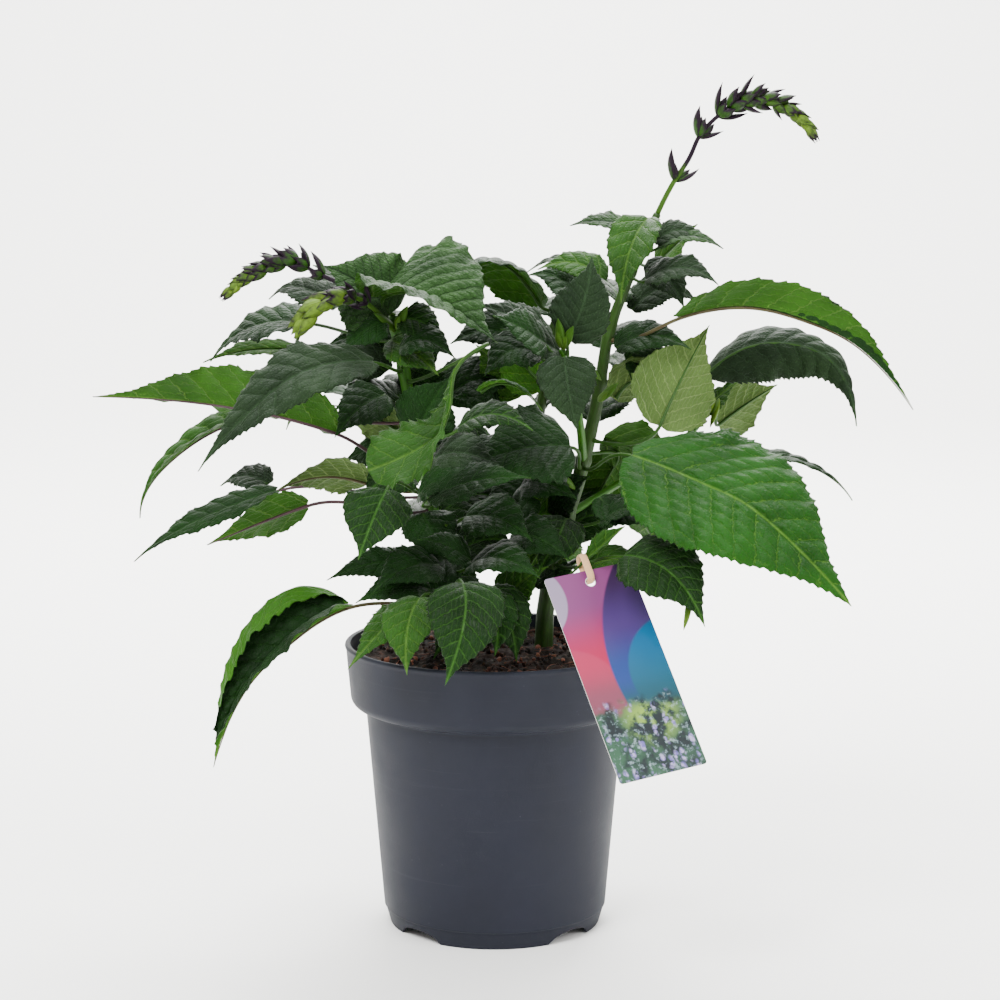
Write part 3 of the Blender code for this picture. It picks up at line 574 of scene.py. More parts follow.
def sidePoint(stem, height, towards, sink=0.0):
    # the point on a stem's side at a height, and the direction straight out of the stem there
    path, radii = stemLine(stem)
    axis = np.array([np.interp(height, path[:, 2], path[:, k]) for k in range(3)])
    radius = float(np.interp(height, path[:, 2], radii))
    station = int(np.clip(np.searchsorted(path[:, 2], height), 1, len(path) - 1))
    along = unit(path[station] - path[station - 1])
    out = np.array(towards, float) - axis
    out = unit(out - out.dot(along) * along)
    return axis + out * (radius - sink), out


def skinFinish(name, low, high, streak, blush, rough=0.45):
    # fresh stalk skin: waxy and even, streaked along the stalk, with a flush where the sun reached it
    finish, tree, shader = startMaterial(name, Roughness=rough, IOR=1.42, Specular_IOR_Level=0.2,
                                         Subsurface_Weight=0.12, Subsurface_Scale=0.002)
    shader.inputs["Subsurface Radius"].default_value = (0.4, 1.0, 0.15)
    place = addNode(tree, "ShaderNodeTexCoord", out=3)
    cloud = noise(tree, place, 45.0, 2.0)
    base = blend(tree, cloud, linear(low), linear(high))
    surface = addNode(tree, "ShaderNodeUVMap", uv_map="surfaceMm")
    drawn = addNode(tree, "ShaderNodeMapping", {"Vector": surface, "Scale": (10.0, 190.0, 1.0)})
    streaks = noise(tree, drawn, 1.0, 3.0)
    some = remap(tree, streaks, 0.45, 0.7, 0.0, blush)
    colour = blend(tree, some, base, linear(streak))
    tree.links.new(colour, shader.inputs["Base Color"])
    hairs = noise(tree, place, 1300.0, 1.0)
    height = maths(tree, "ADD", streaks, hairs)
    addBump(tree, shader, height, 0.35, 0.0004)
    return finish


stalkSkins = {
    "limeStem": skinFinish("limeStemSkin", "#1e470a", "#356015", "#152d08", 0.5),
    "greenStem": skinFinish("greenStemSkin", "#18300a", "#2a4713", "#1c140d", 0.55),
    "greenStalk": skinFinish("greenStalkSkin", "#183409", "#2b4b13", "#122508", 0.4),
    "brownStalk": skinFinish("brownStalkSkin", "#3a3820", "#4b482c", "#371f20", 0.8),
    "purpleStalk": skinFinish("purpleStalkSkin", "#35222a", "#473434", "#22161d", 0.7),
}


def makeStems():
    for name, stem in stems.items():
        path, radii = stemLine(name)
        fine = resample(path, int((path[-1, 2] - path[0, 2]) / 1.6) + 24)
        if not isinstance(stem["start"][0], str):
            fine = np.vstack([fine[:1] - np.array([0, 0, 4.0]), fine])  # down into the soil
        thick = np.interp(fine[:, 2], path[:, 2], radii)
        for height in stem["joints"]:
            thick = thick * (1 + 0.22 * np.exp(-(((fine[:, 2] - height) / 2.6) ** 2)))
        thick[-1] *= 0.9
        skin = tube(fine, 1.02 * thick, 24, square=3.2, turn=math.pi / 4)
        addPiece(name + "_skin", [skin], [stalkSkins[stem["finish"]]], [name])


makeStems()
print("stems drawn")


# leaves: grids along the midrib, quilted between their veins, with teeth along the margin

leafUsual = {
    "folds": (12, 12),  # degrees that the left and the right half rise from the midrib, base to tip
    "curls": (-18, -18),  # how much further they turn up towards the margin, likewise
    "roll": 1.3,  # over 1, the turn gathers towards the margin
    "flaps": (0, 0), "crease": 0.6,  # how far the margins are folded over, beyond this share of the width
    "taper": 0.38,  # how much the last third narrows to a drawn-out tip
    "twist": 0, "widest": 0.31, "fullness": 0.62,
    "teeth": 4.2, "toothDepth": 1.4,  # spacing and depth
    "pairs": 8,  # of side veins
    "quilt": 1.35, "wave": 11.0, "lobe": 0.03, "halves": (1.0, 1.0),
    "top": "darkTop", "under": "freshUnder", "stalk": "greenStalk",
}
leafTone = (0.47, 0.49, 0.30)  # all leaf colours are these shares of the red, green and blue that are named
blade = {
    "thickness": 0.35, "rowStep": 0.75, "columnStep": 1.0,
    "stalkRadius": 1.1, "tipRadius": 0.22,
    "rungGap": 0.34, "rungShift": 0.37,  # of the veins that cross between two side veins
}


def alongRib(value, u):
    # one value, or several spread evenly from the base to the tip, at each station u
    values = np.atleast_1d(np.asarray(value, float))
    return np.interp(u, np.linspace(0.0, 1.0, len(values)), values)


def leafSkins(seed, **changes):
    # the blade's skin and the stalk's, for a leaf whose rib runs from the blade's base to its tip
    leaf = {**leafUsual, **changes}
    rng = np.random.default_rng(seed)
    rib = smoothPath(leaf["rib"], 200)
    length = float(np.linalg.norm(np.diff(rib, axis=0), axis=1).sum())
    rows = int(np.clip(length / blade["rowStep"], 40, 210))
    half = int(np.clip(leaf["width"] / 2 / blade["columnStep"], 9, 40))
    u = np.linspace(0.0, 1.0, rows + 2)[1:-1]
    path = resample(rib, rows + 2)
    tangent, normals, sideways = (v[1:-1] for v in pathFrames(path, leaf["facing"], (rows + 2) // 2))
    path, ends = path[1:-1], path[[0, -1]]
    twist = leaf["twist"]
    turn = np.radians(alongRib((-twist / 2, 0, twist / 2) if np.isscalar(twist) else twist, u))[:, None]
    normals, sideways = (
        normals * np.cos(turn) + sideways * np.sin(turn), sideways * np.cos(turn) - normals * np.sin(turn))
    s = u * length
    m, a = leaf["widest"], leaf["fullness"]
    width = leaf["width"] / 2 * (u / m) ** a * ((1 - u) / (1 - m)) ** (a * (1 - m) / m)
    width = width * (1 - leaf["taper"] * np.clip((u - 0.55) / 0.3, 0, 1) ** 2)
    share = np.linspace(0.0, 1.0, half + 1)
    across = (share[None, 1:] + share[None, :-1]) / 2
    spacing = length / leaf["pairs"]
    cell = blade["rungGap"] * spacing
    sheets, flats = [], []
    for k, side in enumerate((-1, 1)):
        # how far each column stands from the last, with the teeth in the outermost ones
        step = width[:, None] * leaf["halves"][k] * np.diff(share)[None, :]
        tooth = (s / leaf["teeth"] + rng.uniform()) % 1.0
        size = rng.uniform(0.6, 1.3, int(length / leaf["teeth"]) + 3)[(s / leaf["teeth"]).astype(int)]
        reach = leaf["toothDepth"] * (tooth**1.4 - 0.45) * size * np.minimum(1.0, width / 5.0)
        step = step + reach[:, None] * np.diff(share**9)[None, :]
        fold, curl = alongRib(leaf["folds"][k], u), alongRib(leaf["curls"][k], u)
        lift = np.radians(fold[:, None] + curl[:, None] * (1 + leaf["roll"]) / 2 * across ** leaf["roll"])
        flap = np.clip((across - leaf["crease"]) / 0.22, 0, 1)
        lift = lift + np.radians(alongRib(leaf["flaps"][k], u))[:, None] * flap**2 * (3 - 2 * flap)
        ripple = sum(
            np.sin(2 * math.pi * (s / wave + rng.uniform())) * weight
            for wave, weight in ((spacing * 2.3, 0.6), (spacing * 1.1, 0.7), (spacing * 4.1, 0.8)))
        lift = lift + np.radians(leaf["wave"]) * ripple[:, None] * across**2
        out = np.cumsum(np.column_stack([np.zeros(rows), step * np.cos(lift)]), axis=1)
        rise = np.cumsum(np.column_stack([np.zeros(rows), step * np.sin(lift)]), axis=1)
        flat = np.cumsum(np.column_stack([np.zeros(rows), step]), axis=1)
        angle = np.column_stack([lift[:, :1], (lift[:, 1:] + lift[:, :-1]) / 2, lift[:, -1:]])
        base = leaf["lobe"] * length * np.exp(-u / 0.10)[:, None] * share**2
        place = (
            path[:, None, :] + side * out[..., None] * sideways[:, None, :]
            + rise[..., None] * normals[:, None, :] - base[..., None] * tangent[:, None, :])
        cosine, sine = np.cos(angle)[..., None], np.sin(angle)[..., None]
        upward = cosine * normals[:, None, :] - side * sine * sideways[:, None, :]
        # side veins run outwards and forwards, and the quilting bulges between them
        phase = leaf["pairs"] * (s[:, None] - 0.75 * flat - 0.006 * flat**2) / length + 0.5 * k
        ladder = flat / cell + blade["rungShift"] * np.floor(phase)
        fade = (1 - share**6) * np.clip(flat / 2.5, 0, 1)
        fade = fade * np.sin(math.pi * np.clip(u, 0.02, 0.98))[:, None] ** 0.5
        ribs, rungs = np.abs(np.sin(math.pi * phase)), np.abs(np.sin(math.pi * ladder))
        bulge = 0.055 * spacing * ribs**0.8 + 0.030 * spacing * ribs**0.5 * rungs**0.7
        lumps = softNoise(s[:, None] / 3.1 + 7 * side + 40, flat / 3.1 + 40, rng)
        height = leaf["quilt"] * fade * (bulge + 0.010 * spacing * lumps)
        height = height - 0.35 * np.exp(-((flat / 1.1) ** 2)) * fade
        sheets.append((place, upward, height, flat))
        flats.append(np.stack([phase, flat, np.full_like(flat, spacing)], axis=-1))
    place, upward, height, flat = (
        np.concatenate([left[:, ::-1], right[:, 1:]], axis=1) for left, right in zip(*sheets))
    lines = np.concatenate([flats[0][:, ::-1], flats[1][:, 1:]], axis=1)
    signs = np.concatenate([-np.ones(half), [0], np.ones(half)])
    edge = np.sqrt(1 - np.abs(np.linspace(-1, 1, 2 * half + 1)) ** 6)
    middle = place + upward * height[..., None]
    offset = upward * (0.5 * blade["thickness"] * edge)[None, :, None]
    rings = np.concatenate([middle + offset, (middle - offset)[:, -2:0:-1]], axis=1)
    skin = closedSkin(rings, ends[0], ends[1])
    grid = np.stack([np.repeat(s[:, None], 2 * half + 1, 1), flat * signs], axis=-1) / 100
    skin["uv"][:-2] = np.concatenate([grid, grid[:, -2:0:-1]], axis=1).reshape(-1, 2)
    skin["uv"][-1, 0] = length / 100
    skin["lines"][:-2] = np.concatenate([lines, lines[:, -2:0:-1]], axis=1).reshape(-1, 3)
    skin["lines"][-2:] = lines[[0, -1], half]
    below = np.arange(rings.shape[1]) >= 2 * half
    skin["quadSlots"] = np.tile(below, rows - 1).astype(int)
    skin["triSlots"] = np.tile(below, 2).astype(int)
    # the stalk goes straight out of its stem, bends over and carries on as the midrib under the blade
    keel = path - normals * (0.30 + np.linspace(0.55, 0.1, rows)[:, None])
    if leaf.get("from"):
        start, way = sidePoint(*leaf["from"], rib[0], sink=1.4)
        away = np.linalg.norm(rib[0] - start)
        t = np.linspace(0, 1, max(8, int(away / 2.2)))[:, None]
        c1, c2 = start + way * 0.35 * away, keel[0] - tangent[0] * 0.35 * away
        bend = (1 - t)**3 * start + 3 * (1 - t)**2 * t * c1 + 3 * (1 - t) * t**2 * c2 + t**3 * keel[0]
        line = np.vstack([bend[:-1], keel[::3], keel[-1:]])
        bare = len(bend) - 1
    else:
        line, bare = np.vstack([keel[::3], keel[-1:]]), 0
    size = min(1.0, 0.55 + leaf["width"] / 90)
    radii = size * np.interp(
        np.arange(len(line)), (0, 2, max(bare, 3), len(line) - 1),
        (1.5 * blade["stalkRadius"], blade["stalkRadius"], 0.9 * blade["stalkRadius"], blade["tipRadius"]))
    stalk = tube(line, radii, 10, facing=normals[0], slot=2)
    return [skin, stalk]


def leafFinish(name, dark, light, vein, rough, veinShare, bumpSign, reticulum, sheen=0.0):
    # a sage leaf's face: netted with veins, darker or paler in patches, slightly downy
    finish, tree, shader = startMaterial(name, Roughness=rough, IOR=1.45, Specular_IOR_Level=0.10,
                                         Sheen_Weight=sheen, Sheen_Roughness=0.45)
    shader.inputs["Sheen Tint"].default_value = linear("#dfe8d8")
    lines = addNode(tree, "ShaderNodeAttribute", out=1, attribute_name="lines")
    split = addNode(tree, "ShaderNodeSeparateXYZ", {0: lines}).node.outputs
    phase, away, spacing = split[0], split[1], split[2]
    surface = addNode(tree, "ShaderNodeUVMap", uv_map="surfaceMm")

    def near(distance, width):
        # 1 on the line and 0 from the given distance on
        return addNode(tree, "ShaderNodeMapRange", {0: distance, 2: width, 3: 1.0, 4: 0.0},
                       interpolation_type="SMOOTHSTEP")

    warp = noise(tree, surface, 30.0, 2.0)
    bent = maths(tree, "ADD", phase, maths(tree, "MULTIPLY", maths(tree, "SUBTRACT", warp, 0.5), 0.42))
    side = maths(tree, "MULTIPLY", maths(tree, "MULTIPLY", maths(tree, "PINGPONG", bent, 0.5), spacing), 0.8)
    thin = maths(tree, "MAXIMUM", maths(tree, "SUBTRACT", 0.75, maths(tree, "MULTIPLY", away, 0.012)), 0.35)
    sideVein = near(side, thin)
    rung = maths(tree, "DIVIDE", away, maths(tree, "MULTIPLY", spacing, blade["rungGap"]))
    shift = maths(tree, "MULTIPLY", maths(tree, "FLOOR", bent), blade["rungShift"])
    rung = maths(tree, "ADD", rung, shift)
    rung = maths(tree, "ADD", rung, maths(tree, "MULTIPLY", maths(tree, "SUBTRACT", warp, 0.5), 0.9))
    rungAway = maths(tree, "MULTIPLY", maths(tree, "PINGPONG", rung, 0.5), spacing)
    rungAway = maths(tree, "MULTIPLY", rungAway, blade["rungGap"])
    rungVein = near(rungAway, 0.42)
    midrib = near(away, 1.3)
    net = addNode(tree, "ShaderNodeTexVoronoi", {"Vector": surface, "Scale": 62.0, "Randomness": 0.9},
                  feature="DISTANCE_TO_EDGE")
    netVein = near(net, 0.16)
    fineNet = addNode(tree, "ShaderNodeTexVoronoi", {"Vector": surface, "Scale": 150.0, "Randomness": 1.0},
                      feature="DISTANCE_TO_EDGE")
    place = addNode(tree, "ShaderNodeTexCoord", out=3)
    patch = noise(tree, place, 38.0, 3.0)
    wide = remap(tree, patch, 0.32, 0.68, 0.0, 1.0)
    base = blend(tree, wide, linear(dark, leafTone), linear(light, leafTone))
    # the fine net shows as small changes of tone, the larger veins as lines
    tone = remap(tree, net, 0.0, 0.45, 0.74, 1.16)
    base = blend(tree, 1.0, base, tone, blend_type="MULTIPLY")
    drawn = maths(tree, "MAXIMUM", sideVein, maths(tree, "MULTIPLY", rungVein, 0.45))
    drawn = maths(tree, "MAXIMUM", drawn, maths(tree, "MULTIPLY", netVein, 0.16))
    drawn = maths(tree, "MULTIPLY", drawn, veinShare)
    drawn = maths(tree, "MAXIMUM", drawn, maths(tree, "MULTIPLY", midrib, min(1.0, 1.5 * veinShare)))
    colour = blend(tree, drawn, base, linear(vein, leafTone))
    tree.links.new(colour, shader.inputs["Base Color"])
    gloss = remap(tree, patch, 0.3, 0.7, rough - 0.06, rough + 0.08)
    tree.links.new(gloss, shader.inputs["Roughness"])
    # relief in millimetres: veins sunk on the upper face and raised on the lower one
    relief = maths(tree, "MULTIPLY", sideVein, 0.34)
    relief = maths(tree, "ADD", relief, maths(tree, "MULTIPLY", rungVein, 0.20))
    relief = maths(tree, "ADD", relief, maths(tree, "MULTIPLY", near(net, 0.30), 0.16 * reticulum))
    relief = maths(tree, "ADD", relief, maths(tree, "MULTIPLY", near(fineNet, 0.35), 0.035 * reticulum))
    relief = maths(tree, "MULTIPLY", relief, bumpSign)
    addBump(tree, shader, relief, 1.0, 0.001)
    return finish


leafFaces = {  # dark tone, light tone, veins, roughness, how plain the veins are, relief, netting, down
    "darkTop": leafFinish("leafDarkTop", "#0d2a0d", "#194214", "#315c2a", 0.46, 0.24, -1, 1.2, 0.02),
    "blueTop": leafFinish("leafBlueTop", "#1b2f20", "#2c4430", "#456350", 0.55, 0.25, -1, 1.3, 0.05),
    "greyTop": leafFinish("leafGreyTop", "#2b4c2b", "#42693f", "#16301a", 0.55, 0.6, -1, 2.0, 0.05),
    "deepTop": leafFinish("leafDeepTop", "#0a2808", "#143b0e", "#4c7e3a", 0.44, 0.45, -1, 0.9, 0.04),
    "vividTop": leafFinish("leafVividTop", "#154a0f", "#226417", "#6fa045", 0.45, 0.42, -1, 0.9, 0.04),
    "freshTop": leafFinish("leafFreshTop", "#224a14", "#32641e", "#6d9848", 0.47, 0.34, -1, 1.0, 0.05),
    "freshUnder": leafFinish("leafFreshUnder", "#2d5c16", "#407622", "#82a95c", 0.55, 0.34, 1, 0.9, 0.05),
    "limeUnder": leafFinish("leafLimeUnder", "#316a14", "#45831d", "#86b254", 0.52, 0.3, 1, 0.8, 0.06),
    "paleUnder": leafFinish("leafPaleUnder", "#5b7846", "#718f5c", "#a2ba8a", 0.62, 0.5, 1, 0.9, 0.10),
}
print("leaf faces mixed")


def leaf(stem, height, rib, width, facing, **looks):
    # a leaf that grows from a stem at a height, by the line of its rib
    return dict(looks, rib=rib, width=width, facing=facing, **{"from": (stem, height)})


def young(foot, middle, tip, width, facing, face, **looks):
    # a small leaf, by three points of its rib and the face that shows
    side = "top" if face.endswith("Top") else "under"
    looks = {"pairs": 6, "teeth": 3.2, "wave": 12, side: face, **looks}
    return dict(looks, rib=[foot, middle, tip], width=width, facing=facing)


leaves = {
    # at the top of the left stem
    "leaf_left_crown_broad": leaf(
        "stem_left", 345, [(-62, -18, 360), (-34, -40, 361), (2, -64, 338)], 78, (-1, -8, 6),
        folds=((2, 2, 2), (62, 62, 40)), curls=(-16, -10), widest=0.27, top="greyTop", under="freshUnder",
        pairs=9, teeth=4.6, toothDepth=1.9, quilt=2.3, halves=(1.1, 1.0)),
    "leaf_left_crown_far": leaf(
        "stem_left", 342, [(-63, 10, 352), (-84, 32, 366), (-106, 54, 374)], 50, (0, -5, 8), top="blueTop"),
    "leaf_left_arched_high": leaf(
        "stem_left", 335, [(-111, 42, 342), (-143, 54, 337), (-167, 58, 317)], 42, (0, -4, 9), top="darkTop"),
    "leaf_left_far_narrow": leaf(
        "stem_left", 326, [(-108, 68, 322), (-142, 80, 323), (-175, 88, 314)], 30, (0, 4, 9), top="darkTop"),
    "leaf_left_front_arch": leaf(
        "stem_left", 319, [(-66, -48, 327), (-103, -74, 323), (-134, -86, 299), (-157, -90, 272)],
        40, (-2, -7, 6), top="blueTop", pairs=10, wave=14, quilt=1.3),
    # at the middle of the left stem
    "leaf_left_long": leaf(
        "stem_left", 262, [(-87, -12, 283), (-150, -8, 298), (-228, 8, 302)], 56, (0, 9, 4),
        folds=(8, 60), curls=(-14, -10), pairs=10, under="freshUnder", top="darkTop", stalk="purpleStalk",
        toothDepth=1.5, teeth=5),
    "leaf_left_drooping": leaf(
        "stem_left", 290, [(-134, 34, 288), (-168, 40, 276), (-197, 36, 252), (-206, 32, 228)],
        28, (-3, -4, 8), folds=(34, 30), curls=(10, -40), under="freshUnder", top="freshTop",
        stalk="purpleStalk", wave=14),
    "leaf_left_low_dark": leaf(
        "stem_left", 248, [(-124, 4, 249), (-172, -6, 231), (-204, -10, 210)], 26, (0, -4, 9),
        top="darkTop", stalk="purpleStalk", wave=14),
    "leaf_left_low_pale": leaf(
        "stem_left", 252, [(-71, -24, 257), (-96, -34, 262), (-120, -40, 255)], 32, (0, 7, 7),
        under="paleUnder", stalk="brownStalk", pairs=7),
    "leaf_left_low_smooth": leaf(
        "stem_left", 240, [(-102, -52, 249), (-126, -60, 241), (-156, -66, 229)], 34, (0, 7, 7),
        under="freshUnder", stalk="purpleStalk", pairs=6, quilt=0.6),
    "leaf_front_dark_drop": leaf(
        "stem_left", 250, [(-58, -72, 260), (-65, -88, 245), (-72, -98, 226)], 38, (-1, -8, 4),
        top="deepTop", pairs=7, toothDepth=1.3),
    "leaf_front_twisted": leaf(
        "stem_left", 312,
        [(-9, -76, 337), (-21, -86, 325), (-24, -96, 305), (-33, -101, 290), (-66, -106, 275)],
        48, (-5, -7, 3), folds=((80, 80, 70, 20, 5), (15, 15, 20, 15, 10)), twist=(20, 10, 0, -10, -20),
        widest=0.80,
        fullness=2.6, halves=(0.75, 0.85), top="freshTop", under="limeUnder", quilt=0.8, pairs=9, wave=22,
        toothDepth=3.4, teeth=6.5, taper=0),
    "leaf_front_dark_right": leaf(
        "stem_left", 244, [(-35, -56, 254), (-9, -70, 265), (20, -82, 268)], 32, (0, -6, 8), top="darkTop",
        pairs=7),
    "leaf_centre_veined": leaf(
        "stem_left", 284, [(-19, -56, 292), (0, -66, 300), (21, -74, 292)], 28, (0, -5, 8), top="deepTop",
        pairs=7),
    # low on the left stem
    "leaf_front_left_folded": leaf(
        "stem_left", 188, [(-82, -48, 191), (-107, -62, 178), (-135, -76, 151), (-152, -84, 110)],
        74, (-6, -8, 4), folds=((62, 66, 60, 50), (28, 28, 30, 40)), curls=((-30, -34, -10), (-4, -4, 0)),
        flaps=(0, (168, 160, 150, 130, 0)), crease=0.54, twist=(0, 0, 0, 0, 10, 130), widest=0.27,
        top="darkTop",
        under="limeUnder", pairs=10, teeth=6.5, toothDepth=2.4, halves=(0.8, 1.12), stalk="brownStalk",
        wave=9, taper=0.0),
    "leaf_front_mid_dark": leaf(
        "stem_left", 226, [(-16, -36, 240), (3, -50, 241), (21, -62, 230)], 34, (0, -7, 7), top="darkTop",
        pairs=6),
    "leaf_front_low_dark": leaf(
        "stem_left", 206, [(-14, -44, 214), (4, -62, 221), (25, -80, 213)], 32, (0, -6, 8), top="darkTop",
        pairs=6),
    "leaf_front_low_veined": leaf(
        "stem_left", 180, [(-17, -82, 211), (-16, -106, 194), (-26, -114, 162)], 42, (0, -8, 5),
        top="deepTop", pairs=9, toothDepth=1.5, wave=5),
    "leaf_front_low_bright": leaf(
        "stem_left", 184, [(-40, -76, 202), (-46, -96, 189), (-46, -108, 166)], 32, (-2, -8, 5),
        top="freshTop", pairs=7, toothDepth=1.3),
    "leaf_front_low_narrow": leaf(
        "stem_left", 176, [(-46, -60, 195), (-60, -84, 186), (-78, -102, 168)], 24, (-3, -7, 6),
        top="freshTop", pairs=7),
    # at the top of the right stem
    "leaf_right_crown_folded": leaf(
        "stem_right", 399, [(85, -8, 403), (74, -26, 385), (69, -34, 357)], 30, (-3, -8, 2), folds=(25, 25),
        top="freshTop", pairs=7, quilt=0.8),
    "leaf_right_crown_left": leaf(
        "stem_right", 392, [(80, 4, 396), (60, -8, 401), (41, -16, 399)], 22, (0, -5, 8), top="greyTop",
        pairs=7, teeth=3.4, wave=14),
    "leaf_right_crown_forked": leaf(
        "stem_right", 384, [(91, 0, 387), (108, -6, 393), (127, -12, 386)], 20, (0, -4, 9), top="greyTop",
        pairs=6, teeth=3.2, wave=14),
    "leaf_right_crown_far": leaf(
        "stem_right", 378, [(92, 28, 377), (105, 38, 388), (117, 48, 398)], 30, (0, 7, 6), under="freshUnder",
        pairs=6, teeth=3.2, wave=14),
    "leaf_right_crown_dark": leaf(
        "stem_right", 370, [(84, -10, 369), (104, -20, 376), (123, -28, 367)], 26, (0, -6, 8), top="blueTop",
        pairs=7, teeth=3.2, wave=14),
    # at the middle of the right stem
    "leaf_right_long_arch": leaf(
        "stem_right", 335,
        [(103, -16, 349), (136, -24, 355), (167, -30, 349), (200, -35, 333), (230, -38, 299)],
        40, (0, 0, 9), folds=((20, 60, 74, 80), (30, 72, 84, 88)), curls=((-30, -10, -10), -14),
        top="darkTop",
        under="freshUnder", pairs=11, teeth=6, toothDepth=1.6, wave=12, stalk="brownStalk", taper=0.45),
    "leaf_right_pale_up": leaf(
        "stem_right", 278, [(92, -14, 288), (105, -6, 315), (121, 6, 343)], 54, (-1, 9, 3), widest=0.3,
        under="paleUnder", pairs=9),
    "leaf_right_vivid": leaf(
        "stem_right", 262, [(75, -50, 276), (110, -80, 265), (140, -106, 251), (185, -128, 207)],
        82, (2, -9, 5), folds=(2, 2), curls=(-12, -12), top="vividTop", under="freshUnder", pairs=10,
        teeth=4.6, toothDepth=1.8, quilt=1.7, wave=7, widest=0.34, taper=0.3),
    "leaf_centre_dark_big": leaf(
        "stem_right", 262, [(42, -26, 278), (16, -36, 278), (-13, -44, 270)], 58, (0, -7, 7), top="darkTop",
        quilt=1.5, toothDepth=1.5),
    "leaf_right_hooked": leaf(
        "branch_right", 308, [(122, 30, 314), (155, 28, 331), (191, 20, 322), (206, 12, 284)], 46, (0, -2, 8),
        folds=((20, 30, 30, 20), (-70, -66, -70, -80)), curls=(-60, -14), top="blueTop", under="limeUnder",
        pairs=10, wave=16, toothDepth=1.8, quilt=1.4),
    "leaf_right_round_pale": leaf(
        "branch_right", 298, [(131, 54, 281), (149, 62, 293), (167, 68, 303)], 40, (0, 8, 5),
        under="paleUnder", pairs=6),
    # low on the right stem
    "leaf_right_low_veined": leaf(
        "stem_right", 207, [(70, -70, 224), (94, -94, 218), (111, -108, 192)], 44, (1, -8, 5), top="deepTop",
        pairs=9, toothDepth=1.5),
    "leaf_right_low_pale": leaf(
        "stem_right", 230, [(78, 0, 240), (100, -4, 240), (128, -8, 227)], 32, (0, 7, 7), under="paleUnder",
        pairs=7),
    "leaf_right_low_under": leaf(
        "stem_right", 270, [(71, 36, 262), (63, 44, 246), (53, 50, 228)], 42, (0, 9, 1), under="freshUnder",
        pairs=6),
    # on the centre shoot
    "leaf_centre_rugose": leaf(
        "stem_centre", 327, [(40, -36, 338), (49, -40, 360), (53, -34, 384)], 34, (0, -9, 2), top="blueTop",
        quilt=1.5, pairs=9, wave=12),
    "leaf_centre_left": leaf(
        "stem_centre", 325, [(28, -42, 336), (14, -54, 346), (-1, -62, 353)], 32, (0, -7, 7), top="darkTop",
        pairs=7),
    "leaf_centre_down": leaf(
        "stem_centre", 321, [(38, -48, 329), (40, -60, 312), (45, -66, 290)], 34, (0, -9, 3), folds=(25, 25),
        top="blueTop", pairs=8, quilt=1.3),
    "leaf_centre_olive": leaf(
        "stem_centre", 312, [(26, -20, 327), (10, -24, 331), (-6, -30, 317)], 34, (0, -6, 8), top="darkTop",
        pairs=7),
    # on the back stem and behind
    "leaf_back_crown_arch": leaf(
        "stem_back", 347, [(26, 42, 352), (-3, 24, 379), (-36, 4, 362)], 44, (0, 3, 9), folds=(-15, -15),
        top="darkTop", under="limeUnder"),
    "leaf_back_crown_right": leaf(
        "stem_back", 349, [(55, 54, 369), (38, 66, 377), (18, 76, 368)], 20, (0, -3, 9), top="darkTop",
        pairs=6),
    "leaf_back_high": leaf(
        "stem_back", 338, [(26, 70, 344), (36, 102, 350), (48, 134, 322)], 50, (0, 1, 9), top="darkTop"),
    "leaf_back_right_high": leaf(
        "stem_right", 310, [(76, 40, 314), (100, 76, 318), (122, 108, 284)], 48, (1, 2, 9), top="deepTop"),
    "leaf_back_left_high": leaf(
        "stem_left", 300, [(-74, 34, 296), (-102, 78, 304), (-128, 116, 270)], 48, (-1, 2, 9), top="darkTop"),
    "leaf_back_middle": leaf(
        "stem_back", 262, [(8, 66, 262), (-16, 100, 266), (-34, 130, 232)], 48, (0, 3, 9), top="deepTop"),
    "leaf_back_right_low": leaf(
        "stem_right", 218, [(68, 56, 222), (86, 86, 222), (102, 114, 188)], 44, (1, 3, 9), top="deepTop"),
    "leaf_back_left_low": leaf(
        "stem_left", 220, [(-44, 40, 226), (-62, 80, 228), (-78, 112, 194)], 44, (-1, 3, 9), top="deepTop"),
    "leaf_back_low": leaf(
        "stem_back", 192, [(22, 66, 196), (34, 98, 198), (44, 126, 166)], 44, (0, 3, 9), top="deepTop"),
}

